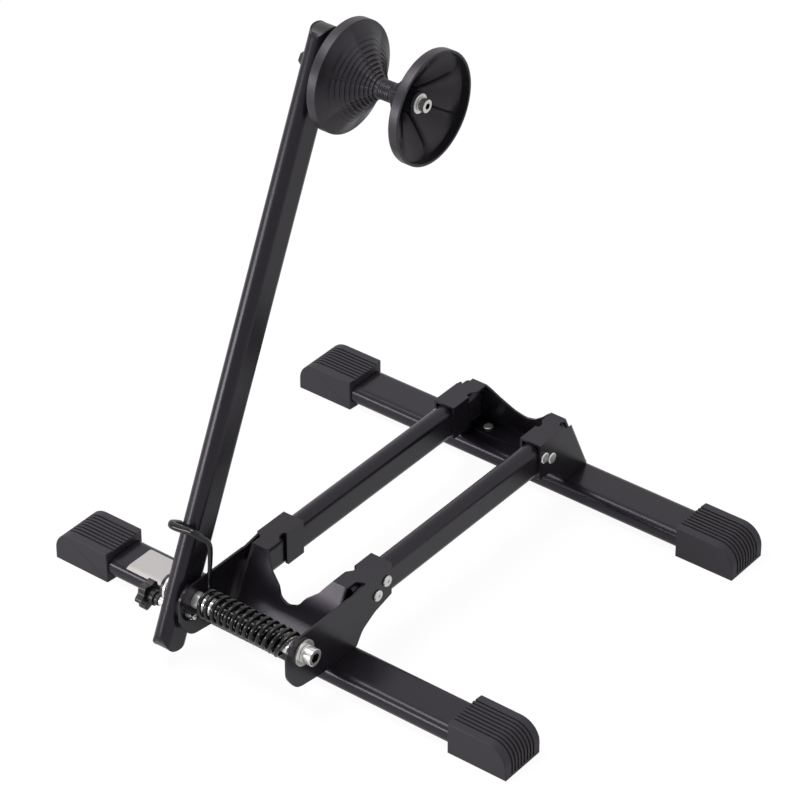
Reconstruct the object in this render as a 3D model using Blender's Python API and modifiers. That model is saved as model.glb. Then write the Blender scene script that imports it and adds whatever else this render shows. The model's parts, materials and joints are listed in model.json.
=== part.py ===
"""Bike parking stand: two base tubes in ribbed foot caps, a folded bracket on each,
two rails between them, and a sprung arm that carries a double-cone roller.

Metres, +Z up. X runs along the base tubes, Y from the arm's end of the stand to the
other. The modelling frame has Y = 0 midway between the base tubes, and one empty
moves everything so that the part's origin is under the middle of its box.
"""
import math

import bmesh
import bpy
from mathutils import Matrix, Vector

# Gap left between pieces that touch
GAP = 0.0003
# How far a cutter reaches past what it cuts
CLEAR = 0.010
# How far a short cutter or plug reaches past the face it ends on
PAST = 0.001
# Nearly a full fillet, so that two of them never meet in one point
NEARLY = 0.9999
# Largest turn between two points on a fillet
FILLET_STEP = math.radians(22.5)
# Faces that turn less than this from each other are one flat face
FLAT_ANGLE = math.radians(0.02)

# Base tubes
TUBE_Y = 0.195
TUBE_WIDTH = 0.050
TUBE_HEIGHT = 0.021
TUBE_SHOULDER = 0.009
TUBE_WALL = 0.0015
TUBE_Z = 0.016

# Foot caps
FRONT_LENGTH = 0.5715
REAR_LENGTH = 0.5640
CAP_LENGTH = 0.0705
CAP_WIDTH = 0.0555
CAP_HEIGHT = 0.0355
CAP_TOP_ROUND = 0.0055
CAP_BOTTOM_ROUND = 0.005
CAP_END_ROUND = 0.0225
CAP_PLAN_ROUND = 0.0040
CAP_LIP_SAG = 0.0010
CAP_LIP_ROUND = 0.002
CAP_LIP_BULGE_ROUND = 0.010
CAP_LIP_BULGE_SHARE = 0.6
CAP_FOOT_ROUND = 0.0015
CAP_END_WALL = 0.007
GROOVE_COUNT = 8
GROOVE_PITCH = 0.0049
GROOVE_WIDTH = 0.0022
GROOVE_DEPTH = 0.0011
GROOVE_FOOT = 0.0035

# Rails
RAIL_X = 0.0555
RAIL_WIDTH = 0.020
RAIL_HEIGHT = 0.040
RAIL_WALL = 0.0015
RAIL_Z = 0.0735
RAIL_END_GAP = 0.0025

# Folded brackets
SHEET = 0.0025
WING_OUTER_X = RAIL_X + RAIL_WIDTH / 2 + GAP + SHEET
FRONT_BEND = 0.010
REAR_BEND = 0.0025
PLATE_FOOT_Z = TUBE_Z + TUBE_HEIGHT / 2 + GAP
PLATE_TOP_Z = RAIL_Z + RAIL_HEIGHT / 2 + GAP + SHEET
FRONT_TOP_Y = -0.1775
FRONT_LEAN = math.radians(26.4)
REAR_TOP_Y = 0.1818
REAR_LEAN = math.radians(24.9)
TAB_FOLD_X = 0.060
SCOOP_X = 0.0417
RELIEF_Z = 0.080
FRONT_SCOOP = ((0.0, 0.0580), (0.011, 0.0615), (0.0165, 0.0700), (0.0290, 0.0795), (0.0360, 0.0890))
REAR_SCOOP = ((0.0, 0.0645), (0.013, 0.0692), (0.0264, 0.0808), (0.0363, 0.0916))
SCOOP_ROUND = 0.012
RELIEF_ROUND = 0.002
TAB_INNER_X = RAIL_X - RAIL_WIDTH / 2 - GAP - SHEET
FRONT_TAB_END = -0.1185
REAR_TAB_END = 0.1285
SIDE_TAB_WIDTH = 0.0265
SIDE_TAB_FOOT_Z = 0.0568
SIDE_TAB_ROUND = 0.003
TAB_CORNER_ROUND = 0.001
TAB_NOTCH_DEPTH = 0.0050
TAB_NOTCH_LENGTH = 0.013
TAB_NOTCH_ROUND = 0.0025
FRONT_SHOULDER = 0.0135
REAR_SHOULDER = 0.0125
SHOULDER_STEP = 0.004
SHOULDER_ROUND = 0.004
FRONT_FLANGE = (0.056, 0.021)
REAR_FLANGE = (0.066, 0.027)
FLANGE_TAPER = 0.002
FLANGE_ROUND = 0.003

# Side outlines of the brackets' wings, as (Y, Z, fillet)
FRONT_WING_EDGE = ((-0.1455, 0.0512, 0.020), (-0.1647, 0.0408, 0.020))
FRONT_WING_FOOT_Z = 0.0580
FRONT_EAR = ((-0.2670, 0.0325, 0.022), (-0.2812, 0.0530, 0.020), (-0.2812, 0.0910, 0.014))
FRONT_EAR_OVERHANG = 0.006
FRONT_EAR_HEEL_ROUND = 0.010
REAR_WING_EDGE = ((0.1455, 0.0532, 0.010), (0.1600, 0.0448, 0.030))
REAR_WING_FOOT_Z = 0.0535
WING_FOOT_INSET = 0.004
WING_CORNER_Z = 0.0905
FRONT_WING_REACH = (0.130, 0.110)
REAR_WING_REACH = (0.160, 0.0)
FRONT_CORNER = 0.004
REAR_CORNER = 0.006

# Screws that hold the rails in the brackets, and the brackets on the base tubes
SCREW_SHANK = 0.0052
SCREW_HEAD = 0.0122
FLANGE_SCREW_HEAD = 0.0105
SCREW_HEAD_HEIGHT = 0.0025
SCREW_HEAD_EDGE = 0.0010
SCREW_HEAD_TOP_SHARE = 0.65
SCREW_LENGTH = 0.012
SCREW_HOLE_GAP = 0.0003
RECESS_WIDTH = 0.0050
RECESS_SLOT = 0.0012
RECESS_DEPTH = 0.0014
FRONT_SCREWS = ((-0.1415, 0.0697), (-0.1268, 0.0788))
REAR_SCREWS = ((0.1353, 0.0786), (0.1480, 0.0713))
FRONT_FLANGE_SCREW = (0.048, 0.0105)
REAR_FLANGE_SCREW = (0.050, 0.0168)

# Hinge of the arm
PIVOT_Y = -0.2564
PIVOT_Z = 0.0714
PIVOT_DIAMETER = 0.012
PIVOT_RUNNING_GAP = 0.0003
PIVOT_HEAD_DIAMETER = 0.0185
PIVOT_HEAD_HEIGHT = 0.012
PIVOT_SOCKET = 0.010
BOLT_CHAMFER = 0.0008
PIVOT_WASHER = 0.028
PIVOT_WASHER_THICKNESS = 0.0025
SLEEVE_DIAMETER = 0.0175
SPACER_DIAMETER = 0.0190
EAR_TO_ARM = 0.0067
ARM_WASHER = 0.029
ARM_WASHER_THICKNESS = 0.0028
END_NUT_DIAMETER = 0.0270
END_NUT_HEIGHT = 0.0056
# Rounding of the end nut's face, as (distance from the face, distance from the rim)
END_NUT_ROUND = ((0.0, 0.0045), (0.0006, 0.0016), (0.0020, 0.0))
END_NUT_FACE = 0.0012
END_NUT_DISH = 0.0018

# Swinging arm
ARM_DEPTH = 0.040
ARM_WIDTH = 0.020
ARM_WALL = 0.0015
ARM_TILT = math.radians(24.3)
ARM_REACH = 0.5405
ARM_TAIL = 0.0400
ARM_TOP = 0.0195
PLUG_DEPTH = 0.024
PIVOT_BUSH = 0.016
AXLE_BUSH = 0.012

# Torsion spring
SPRING_WIRE = 0.0045
SPRING_RADIUS = 0.0136
SPRING_LEFT_X = -0.0560
SPRING_RIGHT_X = 0.0515
SPRING_START = math.radians(35)
SPRING_TURNS = 13.2
# The loaded coils bow up in their middle, drop from left to right, and fan out at both ends
SPRING_BOW = 0.0018
SPRING_DROP = 0.0012
SPRING_SLANT_LEFT = -0.20
SPRING_SLANT_RIGHT = 0.345
SPRING_POINTS = 10
LEG_HEIGHT = 0.0685
LEG_HOOK = 0.018
LEG_HOOK_DROP = 0.003
LEG_HOOK_OUT = 0.0035
# Bends of the leg round the arm, as steps in X, Y and Z from the wire's own line there
LEG_OUTER_BEND = (0.0010, 0.0030, -0.0020)
LEG_OUTER_EDGE = (0.0060, -0.0006, -0.0008)
LEG_MIDDLE = (0.0, -0.0004, 0.0004)
LEG_INNER_EDGE = (0.0030, 0.0004, 0.0020)
LEG_INNER_BEND = (0.0085, 0.0040, -0.0040)
LEG_DROP = (0.0160, 0.0144, -0.0130)
# The leg's foot over the coil's top, as steps in X, Y and Z from the left end of the coil there
LEG_SHIN = (-0.0010, 0.0105, 0.0134)
LEG_FOOT = (-0.0013, 0.0103, 0.0034)
# Last bends at the right end, as (distance along X, degrees round the coil)
RIGHT_LEG_BENDS = ((0.0020, -65), (0.0055, -83), (0.0100, -90))
LEG_POINT_SPACING = 2.2

# Lock of the arm
LOCK_Y = -0.2607
LOCK_Z = 0.0519
LOCK_STUD = 0.006
LOCK_TIP = 0.0015
LOCK_BOSS_DIAMETER = 0.010
LOCK_BOSS_LENGTH = 0.0132
LOCK_SWING_BACK = math.radians(31)
LOCK_SWING_DOWN = math.radians(66.5)
KNOB_HUB = 0.016
KNOB_NECK = 0.012
KNOB_HUB_LENGTH = 0.0125
KNOB_NECK_SHARE = 0.35
KNOB_SHOULDER_SHARE = 0.45
KNOB_BORE_SHARE = 0.7
KNOB_HEAD = 0.0085
KNOB_RADIUS = 0.0138
KNOB_LOBE = 0.0017
KNOB_LOBES = 6
KNOB_POINTS = 36

# Roller
CONE_RADIUS = 0.057
CONE_FACE_X = 0.0530
CONE_BAND = 0.0103
CONE_WALL = 0.0028
NECK_RADIUS = 0.0100
NECK_LENGTH = 0.0065
CONE_EDGE = 0.001
CONE_SLANT_SHARE = 1.3
CONE_RIM_SHARE = 0.4
HUB_STEP = 0.0005
FLARE_SAG = 0.0038
FLARE_STEPS = 5
HUB_FACE_X = 0.035
HUB_RADIUS = 0.011
ROLLER_STEPS = 36
ROLLER_RIBS = 6
RIB_START = math.radians(27)
RIB_WIDTH = 0.0018
RIB_HEIGHT = 0.0024
RIB_SINK_SHARE = 0.5
RIB_START_SHARE = 0.9
RIB_END_SHARE = 0.97
AXLE_DIAMETER = 0.008
AXLE_RUNNING_GAP = 0.0003
AXLE_HEAD = 0.0135
AXLE_HEAD_HEIGHT = 0.0080
AXLE_SOCKET = 0.006
AXLE_WASHER = 0.020
AXLE_WASHER_THICKNESS = 0.0016
AXLE_SPACER = 0.014
AXLE_NUT = 0.013
AXLE_NUT_HEIGHT = 0.008

# Blank label on the front tube
LABEL_FROM_CAP = 0.02125
LABEL_LENGTH = 0.055
LABEL_THICKNESS = 0.0003
LABEL_BACK_Y = 0.0155
LABEL_FRONT_Y = 0.0220
LABEL_FOOT = 0.004

# Places that follow from the sizes above
WING_INNER_X = WING_OUTER_X - SHEET
WING_CUT_X = WING_OUTER_X + CLEAR
ARM_INNER_X = -(WING_OUTER_X + EAR_TO_ARM)
ARM_X = ARM_INNER_X - ARM_WIDTH / 2
ARM_OUTER_X = ARM_INNER_X - ARM_WIDTH
ARM_ALONG = Vector((0.0, math.sin(ARM_TILT), math.cos(ARM_TILT)))
ARM_FRONT = Vector((0.0, -math.cos(ARM_TILT), math.sin(ARM_TILT)))
PIVOT = Vector((0.0, PIVOT_Y, PIVOT_Z))
AXLE = PIVOT + ARM_ALONG * ARM_REACH
LOCK = Vector((0.0, LOCK_Y, LOCK_Z))
FRONT_EDGE = PIVOT_Y - ARM_TAIL * math.sin(ARM_TILT) - ARM_DEPTH / 2
REAR_EDGE = TUBE_Y + CAP_WIDTH / 2
ORIGIN_Y = (FRONT_EDGE + REAR_EDGE) / 2

# A view turns an outline's two axes and its thickness into X, Y and Z
PLAN = Matrix.Identity(4)
SIDE = Matrix(((0, 0, 1, 0), (1, 0, 0, 0), (0, 1, 0, 0), (0, 0, 0, 1)))
FRONT = Matrix(((1, 0, 0, 0), (0, 0, 1, 0), (0, 1, 0, 0), (0, 0, 0, 1)))

PAINT = ("black_paint", (0.016, 0.015, 0.018), 0.36, 0.0)
RUBBER = ("black_rubber", (0.014, 0.013, 0.013), 0.72, 0.0)
PLASTIC = ("black_plastic", (0.018, 0.017, 0.019), 0.48, 0.0)
ZINC = ("bright_zinc", (0.62, 0.63, 0.66), 0.27, 1.0)
SPRING_BLACK = ("spring_black", (0.020, 0.019, 0.022), 0.28, 0.2)
WHITE_FILM = ("white_film", (0.75, 0.74, 0.72), 0.45, 0.0)


def clear_scene():
    """Empty the scene."""
    for item in list(bpy.data.objects):
        bpy.data.objects.remove(item)


def make_material(finish):
    """One Principled material for a finish, made once."""
    name, colour, roughness, metallic = finish
    material = bpy.data.materials.get(name)
    if material is None:
        material = bpy.data.materials.new(name)
        material.use_nodes = True
        shader = material.node_tree.nodes["Principled BSDF"]
        shader.inputs["Base Color"].default_value = (*colour, 1.0)
        shader.inputs["Roughness"].default_value = roughness
        shader.inputs["Metallic"].default_value = metallic
        material.diffuse_color = (*colour, 1.0)
    return material


def linked(data):
    """A new object for some data, in the scene."""
    item = bpy.data.objects.new("shape", data)
    bpy.context.scene.collection.objects.link(item)
    return item


def settled(item, matrix=None):
    """Replace an object by a plain welded mesh of what it shows, facing out."""
    bpy.context.view_layer.update()
    depsgraph = bpy.context.evaluated_depsgraph_get()
    mesh = bpy.data.meshes.new_from_object(item.evaluated_get(depsgraph))
    if matrix is not None:
        mesh.transform(matrix)
    bpy.data.objects.remove(item)
    shape = bmesh.new()
    shape.from_mesh(mesh)
    bmesh.ops.remove_doubles(shape, verts=shape.verts, dist=1e-6)
    bmesh.ops.dissolve_degenerate(shape, dist=1e-7, edges=shape.edges)
    bmesh.ops.dissolve_limit(shape, angle_limit=FLAT_ANGLE, verts=shape.verts, edges=shape.edges)
    bmesh.ops.recalc_face_normals(shape, faces=shape.faces)
    shape.to_mesh(mesh)
    shape.free()
    return linked(mesh)


def combined(item, tool, operation):
    """Join two shapes, cut the second from the first, or keep what they share."""
    modifier = item.modifiers.new("shape", "BOOLEAN")
    modifier.object = tool
    modifier.operation = operation
    modifier.solver = "EXACT"
    result = settled(item)
    bpy.data.objects.remove(tool)
    return result


def gathered(items):
    """Several shapes that don't touch, as one object."""
    shape = bmesh.new()
    for item in items:
        shape.from_mesh(item.data)
        bpy.data.objects.remove(item)
    mesh = bpy.data.meshes.new("shape")
    shape.to_mesh(mesh)
    shape.free()
    return linked(mesh)


def rounded(corners):
    """A closed outline through corners (x, y, fillet radius)."""
    points = []
    for index, (x, y, radius) in enumerate(corners):
        corner = Vector((x, y))
        before = (Vector(corners[index - 1][:2]) - corner).normalized()
        after = (Vector(corners[(index + 1) % len(corners)][:2]) - corner).normalized()
        half = before.angle(after) / 2
        if radius == 0.0 or half > math.radians(89.5):
            points.append(corner)
            continue
        centre = corner + (before + after).normalized() * radius / math.sin(half)
        first = corner + before * radius / math.tan(half) - centre
        last = corner + after * radius / math.tan(half) - centre
        sweep = first.angle_signed(last)
        steps = max(1, math.ceil(abs(sweep) / FILLET_STEP))
        for step in range(steps + 1):
            turn = Matrix.Rotation(-sweep * step / steps, 2)
            points.append(centre + turn @ first)
    return points


def slab(outlines, low, high, view):
    """A plate with holes: outlines in a view's plane, from low to high across it."""
    curve = bpy.data.curves.new("outline", "CURVE")
    curve.dimensions = "2D"
    curve.fill_mode = "BOTH"
    curve.extrude = (high - low) / 2
    for outline in outlines:
        spline = curve.splines.new("POLY")
        spline.points.add(len(outline) - 1)
        spline.use_cyclic_u = True
        for point, (x, y) in zip(spline.points, outline):
            point.co = (x, y, 0.0, 1.0)
    middle = Matrix.Translation((0.0, 0.0, (low + high) / 2))
    return settled(linked(curve), view @ middle)


def turned(profile, steps, closed=True):
    """A shape turned about X from points (x, radius); an open profile ends on the axis."""
    mesh = bpy.data.meshes.new("profile")
    points = [(x, radius, 0.0) for x, radius in profile]
    edges = [(index, index + 1) for index in range(len(points) - 1)]
    if closed:
        edges.append((len(points) - 1, 0))
    mesh.from_pydata(points, edges, [])
    item = linked(mesh)
    modifier = item.modifiers.new("turn", "SCREW")
    modifier.axis = "X"
    modifier.steps = steps
    modifier.render_steps = steps
    modifier.use_merge_vertices = True
    modifier.merge_threshold = 0.00001
    return settled(item)


def placed(item, place):
    """Move a shape to its place, in its mesh."""
    item.data.transform(Matrix.Translation(place))
    return item


def ring(low, high, outer, bore, place, steps=20):
    """A washer, bush or spacer about an axis along X, from diameters."""
    profile = [(low, bore / 2), (low, outer / 2), (high, outer / 2), (high, bore / 2)]
    return placed(turned(profile, steps), place)


def rod(low, high, diameter, place, steps=24):
    """A plain cylinder about an axis along X."""
    profile = [(low, 0.0), (low, diameter / 2), (high, diameter / 2), (high, 0.0)]
    return placed(turned(profile, steps, closed=False), place)


def node(name, item, finish, parent, origin=Vector((0.0, 0.0, 0.0)), smooth=True):
    """Give a shape its name, finish, parent and an origin of its own."""
    item.name = name
    item.data.name = name
    item.data.materials.clear()
    item.data.materials.append(make_material(finish))
    item.data.transform(Matrix.Translation(-origin))
    bpy.context.scene.collection.objects.unlink(item)
    bpy.data.collections["bike_parking_stand"].objects.link(item)
    item.parent = parent
    item.location = origin - parent_origin(parent)
    if smooth:
        item.data.shade_smooth()
        item.data.set_sharp_from_angle(angle=math.radians(32))
    return item


def parent_origin(parent):
    """Where a parent's origin lies in the modelling frame."""
    place = Vector((0.0, ORIGIN_Y, 0.0))
    while parent is not None:
        place = place + parent.location
        parent = parent.parent
    return place


def pivot_empty(name, place, parent):
    """An empty on a joint's axis, which carries the pieces that move together."""
    empty = bpy.data.objects.new(name, None)
    empty.empty_display_size = 0.03
    bpy.data.collections["bike_parking_stand"].objects.link(empty)
    empty.parent = parent
    if parent is None:
        empty.location = place
    else:
        empty.location = place - parent_origin(parent)
    return empty


def flat_oval(width, height, radius, grow=0.0):
    """Outline of a flat tube about its own centre, grown by a margin."""
    half_width = width / 2 + grow
    half_height = height / 2 + grow
    round_off = min(radius + grow, half_width, half_height) * NEARLY
    corners = ((1, 1), (-1, 1), (-1, -1), (1, -1))
    return rounded([(x * half_width, y * half_height, round_off) for x, y in corners])


def shifted(outline, x, y):
    """An outline moved in its plane."""
    return [Vector((point[0] + x, point[1] + y)) for point in outline]


def circle(x, y, radius, steps=20):
    """A round outline."""
    turns = [2 * math.pi * step / steps for step in range(steps)]
    return [Vector((x + radius * math.cos(turn), y + radius * math.sin(turn))) for turn in turns]


def hexagon(across_flats):
    """Outline of a hexagon about its own centre."""
    return circle(0.0, 0.0, across_flats / math.sqrt(3), 6)


def base_length(side):
    """Overall length over the caps, front (-1) or rear (1)."""
    return FRONT_LENGTH if side < 0 else REAR_LENGTH


def base_tube(name, side, root):
    """A flat steel tube across the stand, open at both ends inside its caps."""
    outer = flat_oval(TUBE_WIDTH, TUBE_HEIGHT, TUBE_SHOULDER)
    inner = flat_oval(TUBE_WIDTH, TUBE_HEIGHT, TUBE_SHOULDER, -TUBE_WALL)
    outlines = [shifted(outline, side * TUBE_Y, TUBE_Z) for outline in (outer, inner)]
    half = base_length(side) / 2 - CAP_END_WALL - GAP
    tube = slab(outlines, -half, half, SIDE)
    top = TUBE_Z + TUBE_HEIGHT / 2
    radius = SCREW_SHANK / 2 + SCREW_HOLE_GAP
    holes = []
    for x, y in flange_screws(side):
        holes.append(slab([circle(x, y, radius, 12)], top - 2 * TUBE_WALL, top + TUBE_WALL, PLAN))
    return node(name, combined(tube, gathered(holes), "DIFFERENCE"), PAINT, root)


def cap_grooves():
    """Cutters for the grooves along a cap's top and down its outer end."""
    end = CAP_LENGTH
    lip = -CAP_LIP_SAG
    floor_z = CAP_HEIGHT - GROOVE_DEPTH
    outline = rounded([
        (lip, floor_z, 0.0),
        (end - GROOVE_DEPTH, floor_z, CAP_END_ROUND - GROOVE_DEPTH),
        (end - GROOVE_DEPTH, GROOVE_FOOT, 0.0),
        (end + CLEAR, GROOVE_FOOT, 0.0),
        (end + CLEAR, CAP_HEIGHT + CLEAR, 0.0),
        (lip, CAP_HEIGHT + CLEAR, 0.0),
    ])
    cutters = []
    for index in range(GROOVE_COUNT):
        middle = (index - (GROOVE_COUNT - 1) / 2) * GROOVE_PITCH
        cutters.append(slab([outline], middle - GROOVE_WIDTH / 2, middle + GROOVE_WIDTH / 2, FRONT))
    return gathered(cutters)


def cap_shape():
    """A right-hand foot cap, its inner lip at X = 0 and its middle at Y = 0."""
    end = CAP_LENGTH
    lip = 0.0
    half = CAP_WIDTH / 2
    bulge = half * CAP_LIP_BULGE_SHARE
    across = rounded([
        (half, 0.0, CAP_BOTTOM_ROUND),
        (half, CAP_HEIGHT, CAP_TOP_ROUND),
        (-half, CAP_HEIGHT, CAP_TOP_ROUND),
        (-half, 0.0, CAP_BOTTOM_ROUND),
    ])
    along = rounded([
        (lip - CAP_LIP_SAG, 0.0, 0.0),
        (end, 0.0, CAP_FOOT_ROUND),
        (end, CAP_HEIGHT, CAP_END_ROUND),
        (lip - CAP_LIP_SAG, CAP_HEIGHT, 0.0),
    ])
    plan = rounded([
        (end, -half, CAP_PLAN_ROUND),
        (end, half, CAP_PLAN_ROUND),
        (lip + CAP_LIP_SAG, half, CAP_LIP_ROUND),
        (lip, bulge, CAP_LIP_BULGE_ROUND),
        (lip, -bulge, CAP_LIP_BULGE_ROUND),
        (lip + CAP_LIP_SAG, -half, CAP_LIP_ROUND),
    ])
    cap = slab([across], lip - CAP_LIP_SAG, end, SIDE)
    cap = combined(cap, slab([along], -half - GAP, half + GAP, FRONT), "INTERSECT")
    cap = combined(cap, slab([plan], -GAP, CAP_HEIGHT + GAP, PLAN), "INTERSECT")
    cap = combined(cap, cap_grooves(), "DIFFERENCE")
    pocket = flat_oval(TUBE_WIDTH, TUBE_HEIGHT, TUBE_SHOULDER, GAP)
    pocket = slab([shifted(pocket, 0.0, TUBE_Z)], lip - CLEAR, end - CAP_END_WALL, SIDE)
    return combined(cap, pocket, "DIFFERENCE")


def foot_caps(root):
    """Four ribbed caps on the ends of the base tubes."""
    pattern = cap_shape()
    for y_name, side in (("front", -1), ("rear", 1)):
        lip_x = base_length(side) / 2 - CAP_LENGTH
        for x_name, x, turn in (("right", lip_x, 0.0), ("left", -lip_x, math.pi)):
            cap = linked(pattern.data.copy())
            place = Matrix.Translation((x, side * TUBE_Y, 0.0))
            cap.data.transform(place @ Matrix.Rotation(turn, 4, "Z"))
            node(f"{y_name}_{x_name}_foot_cap", cap, RUBBER, root)
    bpy.data.objects.remove(pattern)


def plate_run(lean):
    """How far a leaning plate travels along Y from its fold to its foot."""
    return (PLATE_TOP_Z - PLATE_FOOT_Z) * math.tan(lean)


def plate_foot_y(side):
    """Where a plate's outer face meets its base tube, front (-1) or rear (1)."""
    if side < 0:
        return FRONT_TOP_Y - plate_run(FRONT_LEAN)
    return REAR_TOP_Y + plate_run(REAR_LEAN) + SHEET / math.cos(REAR_LEAN)


def flange_screws(side):
    """Where the two screws stand in a bracket's foot flange, as (X, Y)."""
    x, inset = FRONT_FLANGE_SCREW if side < 0 else REAR_FLANGE_SCREW
    y = plate_foot_y(side) - side * inset
    return ((-x, y), (x, y))


def rail(name, side, root):
    """A flat oval rail between the two brackets, with its screw holes."""
    outer = flat_oval(RAIL_WIDTH, RAIL_HEIGHT, RAIL_WIDTH / 2)
    inner = flat_oval(RAIL_WIDTH, RAIL_HEIGHT, RAIL_WIDTH / 2, -RAIL_WALL)
    outlines = [shifted(outline, side * RAIL_X, RAIL_Z) for outline in (outer, inner)]
    low = FRONT_TOP_Y + SHEET / math.cos(FRONT_LEAN) + RAIL_END_GAP
    high = REAR_TOP_Y - RAIL_END_GAP
    tube = slab(outlines, low, high, FRONT)
    inside = side * RAIL_X
    outside = side * (RAIL_X + RAIL_WIDTH)
    holes = screw_holes(FRONT_SCREWS + REAR_SCREWS, min(inside, outside), max(inside, outside))
    return node(name, combined(tube, holes, "DIFFERENCE"), PAINT, root)


def screw_holes(places, low, high):
    """Cutters for clearance holes along X at (Y, Z) places."""
    diameter = SCREW_SHANK + 2 * SCREW_HOLE_GAP
    return gathered([rod(low, high, diameter, Vector((0.0, y, z)), 12) for y, z in places])


def plate_section(ahead, behind, lean, bend):
    """Plan outline of the leaning plate, its bends and its wings, plate front at y = 0.

    The wings run ahead of the plate, and also behind it where behind is set.
    """
    depth = SHEET / math.cos(lean)
    bend_x = WING_INNER_X - bend
    bend_y = -bend
    steps = 6
    inner = []
    outer = []
    reach = math.pi / 2
    start = 0.0
    if behind > 0.0:
        start = math.acos(bend / (bend + SHEET))
    for step in range(steps + 1):
        turn = reach * (1 - step / steps)
        inner.append(Vector((bend_x + bend * math.cos(turn), bend_y + bend * math.sin(turn))))
        turn = start + (reach - start) * step / steps
        x = bend_x + (bend + SHEET) * math.cos(turn)
        outer.append(Vector((x, bend_y + (bend + depth) * math.sin(turn))))
    half = inner + [Vector((WING_INNER_X, -ahead)), Vector((WING_OUTER_X, -ahead))]
    if behind > 0.0:
        half = half + [Vector((WING_OUTER_X, behind)), Vector((WING_INNER_X, behind))]
    half = half + outer
    return half + [Vector((-point[0], point[1])) for point in reversed(half)]


def plate_face(scoop):
    """Front outline of a plate: its scoop, its fold edges and the reliefs beside them."""
    side = WING_CUT_X
    half = [(x, z, SCOOP_ROUND) for x, z in scoop]
    half += [
        (SCOOP_X, PLATE_TOP_Z, 0.0),
        (TAB_FOLD_X, PLATE_TOP_Z, 0.0),
        (TAB_FOLD_X, RELIEF_Z, RELIEF_ROUND),
        (WING_INNER_X, RELIEF_Z, 0.0),
        (WING_INNER_X, PLATE_TOP_Z, 0.0),
        (side, PLATE_TOP_Z, 0.0),
        (side, PLATE_FOOT_Z, 0.0),
    ]
    left = [(-x, z, radius) for x, z, radius in reversed(half) if x > 1e-6]
    return rounded(half + left)


def bracket_core(section, face, wings, top_y, slope):
    """The leaning plate with its wings, cut to its side and front outlines."""
    sheet = slab([section], PLATE_FOOT_Z - CLEAR, PLATE_TOP_Z + CLEAR, PLAN)
    lean = Matrix.Identity(4)
    lean[1][2] = slope
    lean[1][3] = top_y - slope * PLATE_TOP_Z
    sheet.data.transform(lean)
    side = WING_CUT_X
    sheet = combined(sheet, slab([wings], -side, side, SIDE), "INTERSECT")
    return combined(sheet, slab([face], -2 * TUBE_Y, 2 * TUBE_Y, FRONT), "INTERSECT")


def tab_flap(side, fold_y, end_y, shoulder_y):
    """Plan outline of the flap over one rail, with the notch beside its side tab."""
    toward = math.copysign(1.0, end_y - fold_y)
    near = end_y - toward * SIDE_TAB_WIDTH
    notch_x = side * (SCOOP_X + TAB_NOTCH_DEPTH)
    start = near - toward * TAB_NOTCH_LENGTH
    return rounded([
        (side * SCOOP_X, fold_y, 0.0),
        (side * TAB_FOLD_X, fold_y, 0.0),
        (side * TAB_FOLD_X, shoulder_y, SHOULDER_ROUND),
        (side * WING_OUTER_X, shoulder_y + toward * SHOULDER_STEP, 0.0),
        (side * WING_OUTER_X, end_y, 0.0),
        (side * TAB_INNER_X, end_y, 0.0),
        (side * TAB_INNER_X, near, 0.0),
        (notch_x, near, TAB_NOTCH_ROUND),
        (notch_x, start + toward * TAB_NOTCH_LENGTH / 2, TAB_NOTCH_ROUND),
        (side * SCOOP_X, start, TAB_NOTCH_ROUND),
    ])


def tabs(fold_y, end_y, shoulder_y):
    """The two flaps folded over the rails, and the flaps down their inner sides."""
    shapes = []
    toward = math.copysign(1.0, end_y - fold_y)
    near = end_y - toward * SIDE_TAB_WIDTH
    for side in (-1, 1):
        flap = slab([tab_flap(side, fold_y, end_y, shoulder_y)], PLATE_TOP_Z - SHEET, PLATE_TOP_Z, PLAN)
        drop = rounded([
            (end_y, PLATE_TOP_Z - SHEET / 2, 0.0),
            (end_y, SIDE_TAB_FOOT_Z, TAB_CORNER_ROUND),
            (near, SIDE_TAB_FOOT_Z, SIDE_TAB_ROUND),
            (near, PLATE_TOP_Z - SHEET / 2, 0.0),
        ])
        edges = (side * TAB_INNER_X, side * (TAB_INNER_X + SHEET))
        drop = slab([drop], min(edges), max(edges), SIDE)
        shapes.append(combined(flap, drop, "UNION"))
    return gathered(shapes)


def flange(side):
    """The plate's foot, folded flat on the base tube, with its screw holes."""
    half, depth = FRONT_FLANGE if side < 0 else REAR_FLANGE
    far = plate_foot_y(side) - side * depth
    near = plate_foot_y(side) - side * SHEET / 2
    outline = rounded([
        (half, near, 0.0),
        (half - FLANGE_TAPER, far, FLANGE_ROUND),
        (-half + FLANGE_TAPER, far, FLANGE_ROUND),
        (-half, near, 0.0),
    ])
    radius = SCREW_SHANK / 2 + SCREW_HOLE_GAP
    holes = [circle(x, y, radius, 12) for x, y in flange_screws(side)]
    return slab([outline] + holes, PLATE_FOOT_Z, PLATE_FOOT_Z + SHEET, PLAN)


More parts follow.
